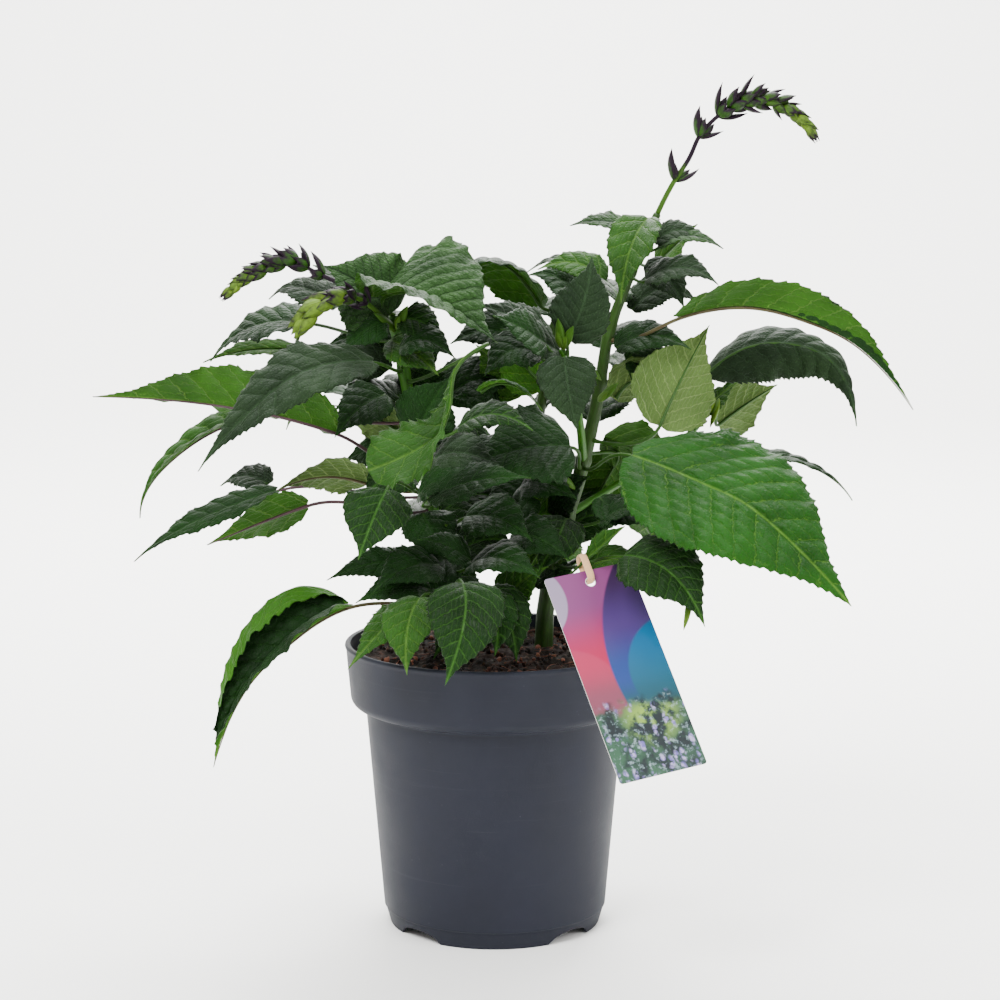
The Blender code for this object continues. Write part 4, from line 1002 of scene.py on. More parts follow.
smallLeaves = {  # young leaves and side shoots that have no solid of their own
    "leaf_small_spike_foot": young(
        (-93, 12, 354), (-113, 24, 363), (-130, 34, 355), 26, (0, -5, 8), "blueTop"),
    "leaf_small_left_dark": young(
        (-132, 40, 247), (-147, 48, 251), (-162, 54, 244), 24, (0, -5, 8), "blueTop"),
    "leaf_small_low_right": young(
        (-47, -20, 213), (-72, -26, 211), (-94, -30, 203), 22, (0, -6, 7), "darkTop"),
    "leaf_small_low_middle": young((-8, -52, 198), (1, -66, 187), (0, -78, 170), 28, (0, -8, 5), "deepTop"),
    "leaf_small_right_dark": young((58, -38, 237), (71, -46, 246), (86, -50, 245), 22, (0, -5, 8), "darkTop"),
    "leaf_small_crescent": young((-8, -62, 312), (9, -70, 317), (26, -76, 303), 16, (0, 2, 9), "limeUnder"),
    "leaf_small_right_far": young((146, 44, 266), (188, 56, 255), (212, 62, 234), 20, (0, -2, 9), "darkTop"),
    # between the stems, where the plant is densest
    "leaf_fill_left_olive": young(
        (-42, -28, 286), (-35, -34, 302), (-24, -40, 318), 36, (0, -9, 1), "darkTop"),
    "leaf_fill_centre_a": young((32, -12, 338), (11, -24, 349), (-13, -34, 358), 28, (0, -6, 7), "blueTop"),
    "leaf_fill_centre_b": young((36, -28, 330), (20, -42, 340), (3, -52, 345), 26, (0, -7, 6), "blueTop"),
    "leaf_fill_centre_green": young((17, 10, 304), (3, 8, 318), (-11, 6, 332), 36, (0, 9, 3), "darkTop"),
    "leaf_fill_centre_bright": young((28, 4, 308), (14, 2, 324), (4, -2, 340), 34, (0, 9, 1), "limeUnder"),
    "leaf_fill_low_dark": young((-13, -50, 218), (-27, -58, 228), (-42, -64, 232), 22, (0, -6, 7), "darkTop"),
    "leaf_fill_low_green": young((3, -34, 190), (15, -40, 204), (30, -46, 214), 26, (0, -7, 5), "freshTop"),
    "leaf_fill_stem_green": young((34, -8, 236), (28, -8, 222), (18, -10, 205), 30, (0, 9, 1), "freshTop"),
    "leaf_fill_stem_green_b": young((35, 8, 252), (24, 6, 240), (8, 4, 230), 30, (0, 9, 2), "freshTop"),
    "leaf_fill_crown_under": young(
        (-52, -30, 332), (-38, -38, 338), (-21, -44, 328), 26, (0, -6, 7), "darkTop"),
    "leaf_fill_left_a": young((-61, -6, 317), (-76, -2, 322), (-98, 2, 313), 30, (0, -6, 7), "blueTop"),
    "leaf_fill_left_b": young((-54, 10, 282), (-70, 14, 290), (-92, 18, 296), 34, (0, 8, 4), "paleUnder"),
    "leaf_fill_left_c": young((-42, -44, 252), (-30, -52, 262), (-12, -58, 256), 26, (0, -6, 7), "darkTop"),
    "leaf_fill_left_d": young((-56, -4, 300), (-72, -10, 305), (-90, -18, 296), 28, (0, -6, 7), "darkTop"),
    "leaf_fill_right_a": young((78, 20, 350), (97, 24, 362), (118, 26, 352), 24, (0, -6, 7), "blueTop"),
    "leaf_fill_right_b": young((68, -4, 330), (87, -8, 338), (110, -12, 330), 26, (0, -6, 7), "darkTop"),
    "leaf_fill_right_c": young((68, 14, 300), (83, 16, 312), (103, 18, 306), 32, (0, 8, 5), "paleUnder"),
    "leaf_fill_right_d": young((62, 20, 276), (84, 26, 268), (104, 30, 252), 40, (0, 7, 6), "darkTop"),
    "leaf_fill_right_e": young((58, -30, 250), (70, -38, 243), (92, -44, 240), 24, (0, -6, 7), "darkTop"),
    "leaf_fill_back_a": young((54, 40, 350), (38, 46, 366), (18, 50, 368), 30, (0, -6, 7), "darkTop"),
    "leaf_fill_back_b": young((62, 30, 366), (46, 34, 376), (24, 38, 372), 24, (0, -6, 7), "freshTop"),
    "leaf_fill_low_right": young((50, -20, 205), (67, -26, 214), (86, -32, 205), 26, (0, -6, 7), "freshTop"),
    "leaf_fill_mid": young((3, 0, 284), (16, -4, 274), (34, -8, 258), 36, (0, -8, 4), "darkTop"),
    "leaf_fill_mid_b": young((-28, 6, 300), (-8, 10, 312), (16, 12, 306), 36, (0, -7, 6), "darkTop"),
    "leaf_fill_mid_c": young((-30, 0, 236), (-10, 6, 246), (14, 8, 238), 34, (0, -6, 7), "deepTop"),
    "leaf_fill_low_back": young((-12, -30, 190), (-24, -42, 178), (-34, -50, 162), 24, (0, -8, 5), "deepTop"),
    "leaf_fill_low_back_b": young((-6, -50, 198), (7, -60, 188), (12, -66, 164), 30, (0, -8, 5), "deepTop"),
    "leaf_fill_low_left": young((-35, -50, 201), (-52, -58, 205), (-76, -66, 197), 26, (0, -6, 7), "darkTop"),
    "leaf_fill_right_far": young((117, 20, 290), (126, 22, 299), (139, 22, 309), 16, (0, -6, 7), "freshTop"),
    "leaf_fill_spike": young((89, 0, 389), (103, -2, 396), (118, -4, 390), 18, (0, -6, 7), "blueTop"),
    "leaf_fill_crown_top": young(
        (-58, -14, 350), (-72, -18, 366), (-94, -16, 377), 56, (1, -8, 5), "greyTop", pairs=8),
    "leaf_fill_crown_low": young(
        (-58, -18, 336), (-44, -30, 330), (-30, -40, 318), 26, (0, -7, 5), "freshTop"),
    "leaf_fill_stem_a": young((-40, -22, 240), (-34, -36, 231), (-22, -46, 214), 32, (0, -7, 6), "darkTop"),
    "leaf_fill_stem_b": young((-24, -20, 216), (-37, -34, 210), (-56, -44, 198), 32, (0, -7, 6), "darkTop"),
    "leaf_fill_stem_c": young((-46, -20, 262), (-58, -32, 262), (-74, -40, 250), 30, (0, -7, 6), "deepTop"),
    "leaf_fill_stem_d": young((-30, -18, 204), (-20, -32, 198), (-4, -42, 184), 30, (0, -7, 6), "deepTop"),
    "leaf_fill_left_e": young((-50, 8, 268), (-66, 14, 272), (-88, 22, 262), 34, (0, -6, 7), "darkTop"),
    "leaf_fill_left_f": young((-58, 10, 330), (-74, 20, 336), (-98, 30, 328), 34, (0, -6, 7), "darkTop"),
    "leaf_fill_mid_d": young((10, 20, 250), (24, 26, 258), (40, 30, 246), 34, (0, -6, 7), "deepTop"),
    "leaf_fill_mid_e": young((14, 30, 330), (-2, 30, 338), (-26, 28, 330), 34, (0, -6, 7), "darkTop"),
    "leaf_fill_mid_f": young((-6, 16, 266), (-20, 20, 274), (-40, 22, 268), 32, (0, -6, 7), "deepTop"),
    "leaf_fill_right_g": young((74, 10, 322), (90, 14, 316), (112, 16, 298), 34, (0, -7, 6), "deepTop"),
    "leaf_fill_right_h": young((40, 16, 222), (58, 22, 232), (80, 26, 224), 34, (0, -7, 6), "deepTop"),
    "leaf_fill_front_a": young((-24, -40, 186), (-8, -56, 192), (14, -70, 186), 30, (0, -7, 6), "darkTop"),
    "leaf_fill_front_b": young((-30, -44, 214), (-48, -62, 216), (-66, -74, 204), 30, (0, -7, 6), "darkTop"),
    "leaf_fill_front_c": young((8, -30, 226), (22, -44, 230), (42, -54, 218), 30, (0, -7, 6), "darkTop"),
    "leaf_fill_front_d": young((14, -10, 252), (26, -26, 258), (46, -40, 250), 32, (0, -7, 6), "darkTop"),
    "leaf_fill_front_e": young((40, -16, 236), (34, -34, 226), (22, -46, 208), 28, (0, -8, 4), "deepTop"),
    "leaf_fill_front_f": young((-34, -24, 270), (-18, -40, 276), (4, -52, 270), 32, (0, -7, 6), "blueTop"),
    "leaf_fill_front_g": young((-60, -20, 306), (-74, -32, 300), (-88, -40, 284), 30, (0, -7, 6), "darkTop"),
    "leaf_fill_gap_a": young((-49, 6, 293), (-39, 0, 308), (-27, -6, 317), 34, (0, -8, 4), "darkTop"),
    "leaf_fill_gap_b": young((3, 10, 290), (-9, 4, 300), (-24, -2, 302), 34, (0, -7, 6), "darkTop"),
    "leaf_fill_gap_c": young((-51, 0, 317), (-39, -6, 328), (-26, -12, 335), 32, (0, -8, 4), "deepTop"),
    "leaf_fill_gap_d": young((26, 8, 243), (10, 2, 245), (-9, -4, 238), 34, (0, -7, 6), "darkTop"),
    "leaf_fill_gap_e": young((-24, 0, 212), (-5, -6, 222), (12, -12, 220), 32, (0, -7, 6), "deepTop"),
    "leaf_fill_gap_f": young((30, 10, 236), (37, 4, 248), (54, -2, 258), 32, (0, -8, 4), "darkTop"),
    "leaf_fill_gap_g": young((-14, 4, 261), (3, -2, 268), (20, -8, 262), 36, (0, -7, 6), "darkTop"),
    "leaf_fill_gap_h": young((-53, -20, 348), (-41, -26, 347), (-27, -32, 339), 24, (0, -7, 6), "deepTop"),
    "leaf_fill_gap_i": young((-60, -24, 347), (-70, -30, 343), (-84, -36, 332), 24, (0, -7, 6), "darkTop"),
    "leaf_fill_gap_k": young((41, 6, 208), (26, 0, 203), (10, -6, 193), 34, (0, -7, 6), "darkTop"),
    "leaf_fill_rear_a": young((40, 14, 232), (52, 40, 240), (60, 72, 226), 38, (0, 4, 9), "darkTop"),
    "leaf_fill_rear_b": young((56, 12, 288), (60, 40, 298), (58, 74, 282), 38, (0, 4, 9), "deepTop"),
    "leaf_fill_rear_c": young((62, 10, 330), (72, 34, 340), (84, 62, 328), 34, (0, 4, 9), "darkTop"),
    "leaf_fill_rear_d": young((-30, 0, 222), (-34, 28, 230), (-34, 60, 216), 38, (0, 4, 9), "deepTop"),
    "leaf_fill_rear_e": young((-42, -2, 262), (-54, 24, 272), (-70, 52, 260), 38, (0, 4, 9), "darkTop"),
    "leaf_fill_rear_f": young((-48, -4, 300), (-46, 24, 312), (-38, 54, 302), 36, (0, 4, 9), "deepTop"),
    "leaf_fill_rear_g": young((-56, -6, 336), (-60, 18, 348), (-66, 46, 342), 34, (0, 4, 9), "darkTop"),
    "leaf_fill_rear_h": young((22, 44, 222), (4, 66, 228), (-18, 84, 212), 38, (0, 4, 9), "deepTop"),
    "leaf_fill_rear_i": young((28, 48, 292), (50, 74, 300), (76, 94, 284), 38, (0, 4, 9), "darkTop"),
    "leaf_fill_rear_j": young((32, 48, 320), (12, 72, 332), (-12, 92, 318), 36, (0, 4, 9), "deepTop"),
    "leaf_fill_rear_k": young((24, 44, 250), (46, 70, 256), (66, 92, 240), 38, (0, 4, 9), "darkTop"),
    "leaf_fill_rear_l": young((70, 8, 356), (62, 30, 366), (50, 52, 360), 28, (0, 4, 9), "deepTop"),
    "leaf_fill_rear_m": young((-26, -2, 196), (-46, 22, 202), (-70, 44, 188), 34, (0, 4, 9), "darkTop"),
    "leaf_fill_rear_n": young((34, 6, 200), (58, 22, 206), (84, 36, 190), 34, (0, 4, 9), "deepTop"),
    "leaf_fill_spike_b": young((84, 6, 372), (96, 2, 370), (106, -4, 352), 24, (0, -6, 7), "blueTop"),
}


def addLeaf(name, seed, values, *stands):
    looks = {**leafUsual, **values}
    finishes = [leafFaces[looks["top"]], leafFaces[looks["under"]], stalkSkins[looks["stalk"]]]
    addPiece(name, leafSkins(seed, **values), finishes, stands)


def makeLeaves():
    seed = 100
    for name, values in leaves.items():
        seed += 1
        addLeaf(name + "_blade", seed, values, name)
    for name, values in smallLeaves.items():
        seed += 1
        addLeaf(name, seed, values)


makeLeaves()
print("leaves grown")


# flower spikes in bud: whorls of hanging calyces, each under a long pointed bract

spikes = {
    "spike_right": {
        "points": [(91, 5, 405), (99, 5, 421), (108, 5, 435), (114, 5, 448), (122, 5, 457), (133, 4, 465),
                   (147, 2, 468), (161, 0, 463), (172, -2, 454), (178, -3, 447)],
        "outer": (-6, -3, 8), "radii": (1.5, 0.8),
        "green": 22,  # the rachis is green as far as this
        "bractWidth": 2.2,  # of a bract's foot, to which a share of its length is added
        "calyxShare": 1.25,  # of the calyx lengths below
        # for each whorl: place, bract length, calyx length, how purple, how yellow, then the angles
        # round the rachis at which its bracts and its calyces stand, where 0 is the outer side
        "whorls": [
            (20, 19, 8, 1.0, 0.0, (5, 178), (30, -150)), (48, 17, 9, 0.9, 0.0, (10, 176), (40, -150)),
            (63, 20, 9, 0.9, 0.0, (-15, 170), (60, -60)), (70, 15, 10, 0.85, 0.0, (25, -120), (20, 90)),
            (77, 17, 10, 0.85, 0.05, (-20, 150), (-70, 50)), (84, 14, 10, 0.8, 0.1, (12, -140), (0, 110)),
            (91, 12, 9, 0.75, 0.15, (-25, 40), (-80, 60)), (97, 12, 9, 0.7, 0.2, (20, 150), (-20, 100)),
            (102, 9, 8, 0.65, 0.4, (-20, 60), (-90, 30)), (107, 8, 7, 0.6, 0.6, (15, -60), (-30, 100)),
            (111, 7, 7, 0.5, 0.75, (-20, 50), (-90, 30)), (115, 6, 6, 0.4, 0.9, (10, -60), (-30, 100)),
            (118, 5, 6, 0.4, 1.0, (0, 90), (-90, 40)),
        ],
    },
    "spike_left": {
        "points": [(-56, -12, 349), (-75, -2, 361), (-100, 6, 372), (-113, 8, 378), (-132, 8, 373),
                   (-152, 8, 359)],
        "outer": (1, -2, 8), "radii": (1.6, 0.8), "green": 10, "bractWidth": 2.2, "calyxShare": 1.35,
        "whorls": [
            (48, 17, 6, 1.0, 0.0, (0, 120), (60, -60)), (58, 14, 8, 0.95, 0.0, (12, -110), (40, -50)),
            (64, 13, 9, 0.9, 0.0, (-20, 60), (90, -30)), (70, 13, 9, 0.85, 0.05, (15, -60), (60, -80)),
            (76, 12, 9, 0.8, 0.1, (-15, 50), (90, -30)), (82, 11, 9, 0.8, 0.2, (10, -50), (60, -80)),
            (87, 9, 8, 0.7, 0.4, (-15, 50), (90, -30)), (92, 8, 7, 0.6, 0.6, (10, -50), (60, -80)),
            (96, 6, 7, 0.5, 0.8, (-10, 60), (90, -30)), (100, 5, 6, 0.4, 1.0, (0, -60), (60, -90)),
        ],
    },
    "spike_front": {
        "points": [(-55.5, -14.5, 341), (-70, -28, 357), (-81, -37, 361), (-94, -42, 357), (-104, -44, 345),
                   (-110, -45, 327)],
        "outer": (-3, -3, 8), "radii": (1.4, 0.8), "green": 30, "bractWidth": 2.6, "calyxShare": 1.45,
        "whorls": [
            (24, 14, 6, 1.0, 0.0, (0, 150), (60, -60)), (34, 12, 9, 0.9, 0.2, (10, -70), (60, -90)),
            (40, 9, 11, 0.7, 0.6, (-15, 60), (90, -40)), (46, 8, 12, 0.6, 0.8, (10, -60), (60, -100)),
            (52, 7, 12, 0.5, 0.9, (-15, 60), (100, -40)), (58, 6, 12, 0.5, 1.0, (10, -60), (60, -100)),
            (64, 5, 10, 0.4, 1.0, (-10, 60), (100, -40)),
        ],
    },
}


def budFinish():
    # calyx and bract: leaf green turning dark purple at tips and ribs, yellow-green where still young
    finish, tree, shader = startMaterial("budSkin", Roughness=0.55, IOR=1.45, Specular_IOR_Level=0.12)
    lines = addNode(tree, "ShaderNodeAttribute", out=1, attribute_name="lines")
    split = addNode(tree, "ShaderNodeSeparateXYZ", {0: lines}).node.outputs
    place = addNode(tree, "ShaderNodeTexCoord", out=3)
    cloud = noise(tree, place, 420.0, 3.0)
    green = blend(tree, split[1], linear("#274813"), linear("#5d7622"))
    shift = maths(tree, "SUBTRACT", cloud, 0.5)
    shift = maths(tree, "MULTIPLY", shift, 0.7)
    shift = maths(tree, "ADD", shift, split[0])
    share = remap(tree, shift, 0.22, 0.62, 0.0, 1.0)
    colour = blend(tree, share, green, linear("#1a0f1a"))
    tree.links.new(colour, shader.inputs["Base Color"])
    ribs = maths(tree, "MULTIPLY", split[2], 6.0)
    ribs = maths(tree, "PINGPONG", ribs, 1.0)
    height = maths(tree, "ADD", ribs, cloud)
    addBump(tree, shader, height, 0.6, 0.0003)
    return finish


def budSkin(foot, way, outer, length, width, flatness, hook, belly, purple, yellow):
    # one bract or calyx: a pointed body along a bent line, widest at belly, flattened and ribbed
    t = np.linspace(0.0, 1.0, 11)
    path = foot + length * (t[:, None] * way + hook * t[:, None] ** 2 * outer)
    _, normals, sideways = pathFrames(path, outer - outer.dot(way) * way + 1e-6, 5)
    swell = np.clip((t / belly) ** 0.7 * ((1 - t) / (1 - belly)) ** (0.75 * (1 - belly) / belly), 0.10, 1.0)
    swell[-1] = 0.06
    angle = np.arange(10) * 2 * math.pi / 10
    rim = 1 + 0.07 * np.cos(5 * angle)
    rings = path[:, None, :] + (width / 2 * swell)[:, None, None] * (
        (flatness * rim * np.cos(angle))[None, :, None] * normals[:, None, :]
        + (rim * np.sin(angle))[None, :, None] * sideways[:, None, :])
    skin = closedSkin(rings, path[0] - 0.1 * way, path[-1] + 0.2 * way)
    # purple towards the tip and along both edges, green down the middle
    shade = purple * (0.9 * t[:, None] ** 1.4 + 0.55 * np.abs(np.sin(angle[None, :])) ** 3 + 0.12)
    skin["lines"][:-2] = np.stack(np.broadcast_arrays(
        shade, yellow * (1 - 0.4 * t[:, None]), angle[None, :] / (2 * math.pi)), axis=-1).reshape(-1, 3)
    skin["lines"][-2:] = [(0, yellow, 0), (purple, yellow, 0)]
    return skin


youngShoots = [  # unopened shoots in the leaf axils, the first few of them yellow-green: foot, tip, width
    ((104, -98, 206), (101, -103, 190), 3.6), ((126, 20, 300), (118, 14, 286), 7),
    ((128, 20, 300), (124, 12, 284), 5), ((112, 26, 284), (104, 18, 298), 5),
    ((113, 26, 284), (112, 16, 300), 4), ((-36, -16, 226), (-50, -34, 236), 5),
    ((-36, -16, 228), (-24, -36, 236), 5), ((-40, -16, 250), (-58, -30, 262), 5),
    ((-44, -14, 288), (-34, -30, 302), 5), ((-55, -16, 342), (-46, -30, 356), 6),
    ((-55, -16, 342), (-64, -30, 352), 6), ((46, 0, 250), (36, -12, 264), 5),
    ((58, 0, 300), (70, -12, 312), 5), ((60, 0, 312), (50, -10, 326), 5),
    ((78, 2, 376), (68, -10, 388), 5), ((-24, -16, 186), (-12, -34, 198), 5),
    ((36, 0, 210), (50, -16, 222), 5), ((37, -32, 332), (36, -42, 350), 7),
    ((37, -32, 332), (44, -44, 346), 6), ((84, 4, 392), (92, -10, 402), 5),
]


bud = {
    "brightShoots": 5,
    "seed": 5,
    "pathPoints": 90, "rachisSides": 14,
    "bractSplay": (36, 50), "calyxSplay": (30, 44),  # degrees that they stand off the rachis
    "lastBuds": 6, "lastLength": 10.0, "lastWidth": 4.2,  # the closed buds at the very tip
}


def makeSpikes():
    finish = budFinish()
    shoots = []
    for number, (foot, tip, width) in enumerate(youngShoots):
        foot, tip = np.array(foot, float), np.array(tip, float)
        length = np.linalg.norm(tip - foot)
        way = unit(tip - foot)
        out = unit(np.cross(way, [0.0, 0.0, 1.0]) + np.array([0, -0.6, 0]))
        aside = unit(way + 0.4 * out)
        yellow = 0.7 if number < bud["brightShoots"] else 0.15
        shoots.append(budSkin(foot, way, out, length, width, 0.5, 0.12, 0.45, 0.1, yellow))
        shoots.append(budSkin(foot, aside, out, 0.7 * length, 0.8 * width, 0.4, -0.1, 0.45, 0.15, 0.3))
    addPiece("young_shoots", shoots, [finish])
    rng = np.random.default_rng(bud["seed"])
    count, sides = bud["pathPoints"], bud["rachisSides"]
    for name, spike in spikes.items():
        path = smoothPath(spike["points"], count)
        along = np.concatenate([[0.0], np.cumsum(np.linalg.norm(np.diff(path, axis=0), axis=1))])
        tangent, normals, sideways = pathFrames(path, spike["outer"], count // 2)
        rachis = tube(path, np.linspace(*spike["radii"], count), sides, square=2.6)
        ripe = np.clip((along - spike["green"]) / 12, 0, 1) * np.clip((along[-1] - along) / 25, 0.3, 1)
        tints = np.broadcast_arrays(0.75 * ripe[:, None], 0.15, np.linspace(0, 1, sides)[None, :])
        rachis["lines"][:-2] = np.stack(tints, axis=-1).reshape(-1, 3)
        skins = [rachis]
        for place, bract, calyx, purple, yellow, bractTurns, calyxTurns in spike["whorls"]:
            at = int(np.argmin(np.abs(along - place)))
            centre, ahead, up, across = path[at], tangent[at], normals[at], sideways[at]
            # young whorls lie closer along the rachis, and each has as many calyces again behind
            for turn in bractTurns:
                angle = math.radians(turn + rng.uniform(-8, 8))
                out = unit(up * math.cos(angle) + across * math.sin(angle))
                splay = math.radians(rng.uniform(*bud["bractSplay"]) - 18 * yellow)
                way = unit(ahead * math.cos(splay) + out * math.sin(splay))
                long = (1.12 * bract + 3.5 * yellow) * rng.uniform(0.9, 1.1)
                long = long * (0.85 if abs(turn) > 100 else 1.0)
                wide = 0.24 * long + spike["bractWidth"]
                hook = rng.uniform(-0.25, -0.05)
                skins.append(budSkin(
                    centre + out * 0.8, way, out, long, wide, 0.45, hook, 0.4, purple, yellow * 0.6))
            for turn in (*calyxTurns, *(turn + 170 for turn in calyxTurns)):
                angle = math.radians(turn + rng.uniform(-12, 12))
                out = unit(up * math.cos(angle) + across * math.sin(angle))
                splay = math.radians(rng.uniform(*bud["calyxSplay"]) - 14 * yellow)
                way = unit(ahead * math.cos(splay) + out * math.sin(splay))
                long = calyx * spike["calyxShare"] * rng.uniform(0.9, 1.15)
                foot = centre + ahead + out * 0.4
                skins.append(budSkin(
                    foot, way, out, long, 0.34 * long + 1.5, 0.8, -0.15, 0.40, 0.78 * purple, yellow))
        for turn in range(0, 360, 360 // bud["lastBuds"]):
            angle = math.radians(turn + 20)
            out = unit(normals[-1] * math.cos(angle) + sideways[-1] * math.sin(angle))
            way = unit(tangent[-1] + 0.35 * out)
            foot = path[-6] + 0.8 * out
            skins.append(budSkin(
                foot, way, out, bud["lastLength"], bud["lastWidth"], 0.7, -0.25, 0.30, 0.75, 0.8))
        addPiece(name + "_buds", skins, [finish], [name])


makeSpikes()
print("spikes in bud")


# label: a printed card on a beige elastic, with a picture of flowers and no lettering

label = {
    "top": (49.838, -60.829, 213.991), "turn": (-38.0, -8.0, 20.3),
    "length": 123.0, "thickness": 0.6,
    "holeFromTop": 7.0, "whiteRing": 2.9,  # radius of the unprinted ring round the hole
    "tieReach": 5.5, "loopRadius": 4.0,
    "bandWidth": 4.2, "bandThickness": 1.2,
    "loopPoints": 72, "bandSides": 12,
    "inkTone": 0.5,  # the printed colours are this share of the ones named
}
labelTurn = Euler([math.radians(a) for a in label["turn"]])


def labelPoint(x, y, z):
    # across the label, out of its back, and up from its top edge
    return np.array(label["top"]) + np.array(labelTurn.to_matrix()) @ np.array([x, y, z])


def printFinish():
    # coated card: a picture of drifting colours over a bed of sage flowers, white at its cut edges
    finish, tree, shader = startMaterial("printedCard", Roughness=0.32, IOR=1.5, Specular_IOR_Level=0.5,
                                         Coat_Weight=0.15, Coat_Roughness=0.25)

    def mix(share, below, above):
        return blend(tree, share, below, above)

    def ramp(value, first, last):
        return remap(tree, value, first, last, 0.0, 1.0, interpolation_type="SMOOTHSTEP")

    def ink(colour):
        return linear(colour, label["inkTone"])

    middle = labelPoint(0, 0, -label["length"] / 2) * mm
    place = addNode(tree, "ShaderNodeTexCoord", out=3)
    ownFrame = {"Vector": place, "Location": middle, "Rotation": labelTurn, "Scale": (mm, mm, mm)}
    flat = addNode(tree, "ShaderNodeMapping", ownFrame, vector_type="TEXTURE")
    axes = addNode(tree, "ShaderNodeSeparateXYZ", {0: flat}).node.outputs
    x, y, z = axes[0], axes[1], axes[2]  # millimetres from the card's middle

    def circle(cx, cz, radius, soft=0.6):
        # 1 inside a circle
        dx, dz = maths(tree, "SUBTRACT", x, cx), maths(tree, "SUBTRACT", z, cz)
        squares = maths(tree, "ADD", maths(tree, "MULTIPLY", dx, dx), maths(tree, "MULTIPLY", dz, dz))
        away = maths(tree, "SQRT", squares)
        return ramp(away, radius + soft, radius - soft)

    # the left column runs from mauve through coral to dusty rose, the right from purple to blue to teal
    left = mix(ramp(z, 44, 10), ink("#9a4a8a"), ink("#d2145a"))
    left = mix(ramp(z, 8, -14), left, ink("#86405a"))
    left = mix(maths(tree, "MULTIPLY", circle(-30, -8, 26, 1.0), 0.15), left, ink("#e8708a"))
    left = mix(circle(-42, 50, 25.4), left, ink("#b9a8c6"))
    right = mix(ramp(z, 56, 26), ink("#3c1c4e"), ink("#5a3f88"))
    right = mix(ramp(z, 28, 0), right, ink("#23489a"))
    right = mix(circle(36, -7, 34, 1.0), right, mix(ramp(z, 20, -14), ink("#0f74ac"), ink("#056583")))
    right = mix(ramp(z, -4, -20), right, ink("#0d5668"))
    column = mix(circle(87.5, 0, 94.3, 0.8), left, right)
    # the flower bed: upright lilac spikes before soft dark foliage and a light green patch
    cloud = noise(tree, flat, 0.07, 4.0, 0.6)
    fine = noise(tree, flat, 0.30, 3.0, 0.65)
    bed = mix(ramp(cloud, 0.40, 0.62), ink("#0c1f26"), ink("#3a6a4c"))
    bed = mix(ramp(fine, 0.52, 0.72), bed, ink("#a8c6cc"))
    bed = mix(maths(tree, "MULTIPLY", circle(5, -28, 13, 8), ramp(cloud, 0.44, 0.56)), bed, ink("#a4cf4e"))
    leaning = {"Vector": flat, "Scale": (0.22, 0.22, 0.10), "Rotation": (0, 0.25, 0)}
    tall = addNode(tree, "ShaderNodeMapping", leaning)
    spike = addNode(tree, "ShaderNodeTexVoronoi", {"Vector": tall, "Scale": 1.0, "Randomness": 0.9})
    florets = addNode(tree, "ShaderNodeTexVoronoi", {"Vector": flat, "Scale": 0.36, "Randomness": 1.0})
    bloom = maths(tree, "MULTIPLY", ramp(spike, 0.50, 0.24), ramp(florets, 0.66, 0.40))
    bed = mix(bloom, bed, mix(ramp(fine, 0.38, 0.6), ink("#8175cf"), ink("#d9ccff")))
    sides = noise(tree, flat, 0.14, 3.0)
    horizon = maths(tree, "ADD", z, maths(tree, "MULTIPLY", maths(tree, "SUBTRACT", sides, 0.5), 22.0))
    picture = mix(ramp(horizon, -16, -24), column, bed)
    # printed on the front alone
    half = label["thickness"] / 2
    printed = ramp(y, -0.75 * half, -0.9 * half)
    grain = noise(tree, flat, 3.0, 2.0)
    card = mix(grain, linear("#e9e9e4"), linear("#f4f4f0"))
    ring = circle(0, label["length"] / 2 - label["holeFromTop"], label["whiteRing"], 0.2)
    hole = maths(tree, "SUBTRACT", 1.0, ring)
    colour = mix(maths(tree, "MULTIPLY", printed, hole), card, picture)
    tree.links.new(colour, shader.inputs["Base Color"])
    addBump(tree, shader, grain, 0.1, 0.0002)
    return finish


def elasticFinish():
    # woven elastic: beige threads side by side along the band
    finish, tree, shader = startMaterial(
        "wovenElastic", Roughness=0.75, Sheen_Weight=0.3, Sheen_Roughness=0.5)
    surface = addNode(tree, "ShaderNodeUVMap", uv_map="surfaceMm")
    threads = {"Vector": surface, "Scale": 60.0, "Distortion": 1.5, "Detail": 2.0}
    wave = addNode(tree, "ShaderNodeTexWave", threads, 1, bands_direction="Y")
    colour = blend(tree, wave, linear("#b98453"), linear("#e9c08c"))
    tree.links.new(colour, shader.inputs["Base Color"])
    addBump(tree, shader, wave, 0.5, 0.0003)
    return finish


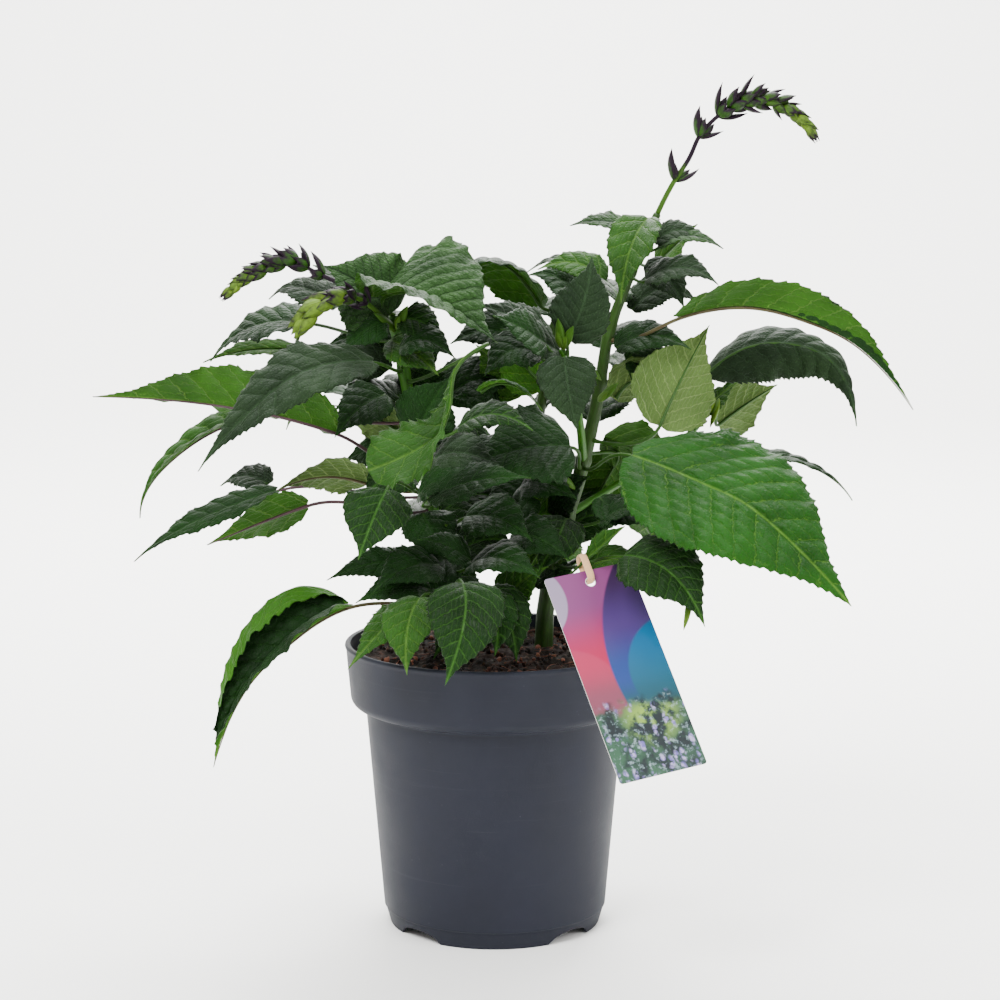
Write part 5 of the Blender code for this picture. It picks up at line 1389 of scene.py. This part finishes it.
def makeTie():
    # a closed flat band through the hole and round the strap leaf's foot
    radius, count, sides = label["loopRadius"], label["loopPoints"], label["bandSides"]
    low, high = radius - label["holeFromTop"] - 0.2, label["tieReach"]
    turn = np.linspace(0, 2 * math.pi, count, endpoint=False)
    run = np.where(turn < math.pi, high, low)
    centre = np.stack([
        labelPoint(0, radius * math.cos(a), z + radius * math.sin(a)) for a, z in zip(turn, run)])
    out = np.stack([labelPoint(0, math.cos(a), math.sin(a)) - labelPoint(0, 0, 0) for a in turn])
    across = labelPoint(1, 0, 0) - labelPoint(0, 0, 0)
    ring = np.arange(sides) * 2 * math.pi / sides
    rings = centre[:, None, :] + (
        label["bandThickness"] / 2 * np.cos(ring)[None, :, None] * out[:, None, :]
        + label["bandWidth"] / 2 * np.sin(ring)[None, :, None] * across[None, None, :])
    index = np.arange(count * sides).reshape(count, sides)
    after, following = np.roll(index, -1, 1), np.roll(index, -1, 0)
    quads = np.stack([index, following, np.roll(after, -1, 0), after], axis=-1).reshape(-1, 4)
    skin = {"points": rings.reshape(-1, 3), "quads": quads, "tris": np.zeros((0, 3), int)}
    skin["quadSlots"], skin["triSlots"] = np.zeros(len(quads), int), np.zeros(0, int)
    surface = np.broadcast_arrays(turn[:, None] * 0.08, np.sin(ring)[None, :] * 0.02)
    skin["uv"] = np.stack(surface, -1).reshape(-1, 2)
    skin["lines"] = np.zeros((count * sides, 3))
    addPiece("elastic_tie", [skin], [elasticFinish()], ["label_tie"])


def makeLabel():
    card = nodes["label_card"]
    card.data.materials.clear()
    card.data.materials.append(printFinish())
    makeTie()
    # the narrow leaf that the label hangs from
    way = unit(np.array([0.74, -0.1, 0.67]))
    rib = [labelPoint(0, 0, label["tieReach"]) + way * d for d in (-5.0, 0.0, 14.0, 31.0)]
    strap = dict(rib=rib, width=14, facing=(-5, -7, 5), folds=(40, 40), curls=(0, 0), widest=0.6,
                 fullness=2.0, pairs=5, quilt=0.5, under="freshUnder", top="freshTop")
    strap["from"] = ("stem_right", 195)
    addLeaf("leaf_label_strap_blade", 77, strap, "leaf_label_strap")


makeLabel()
print("label hung")
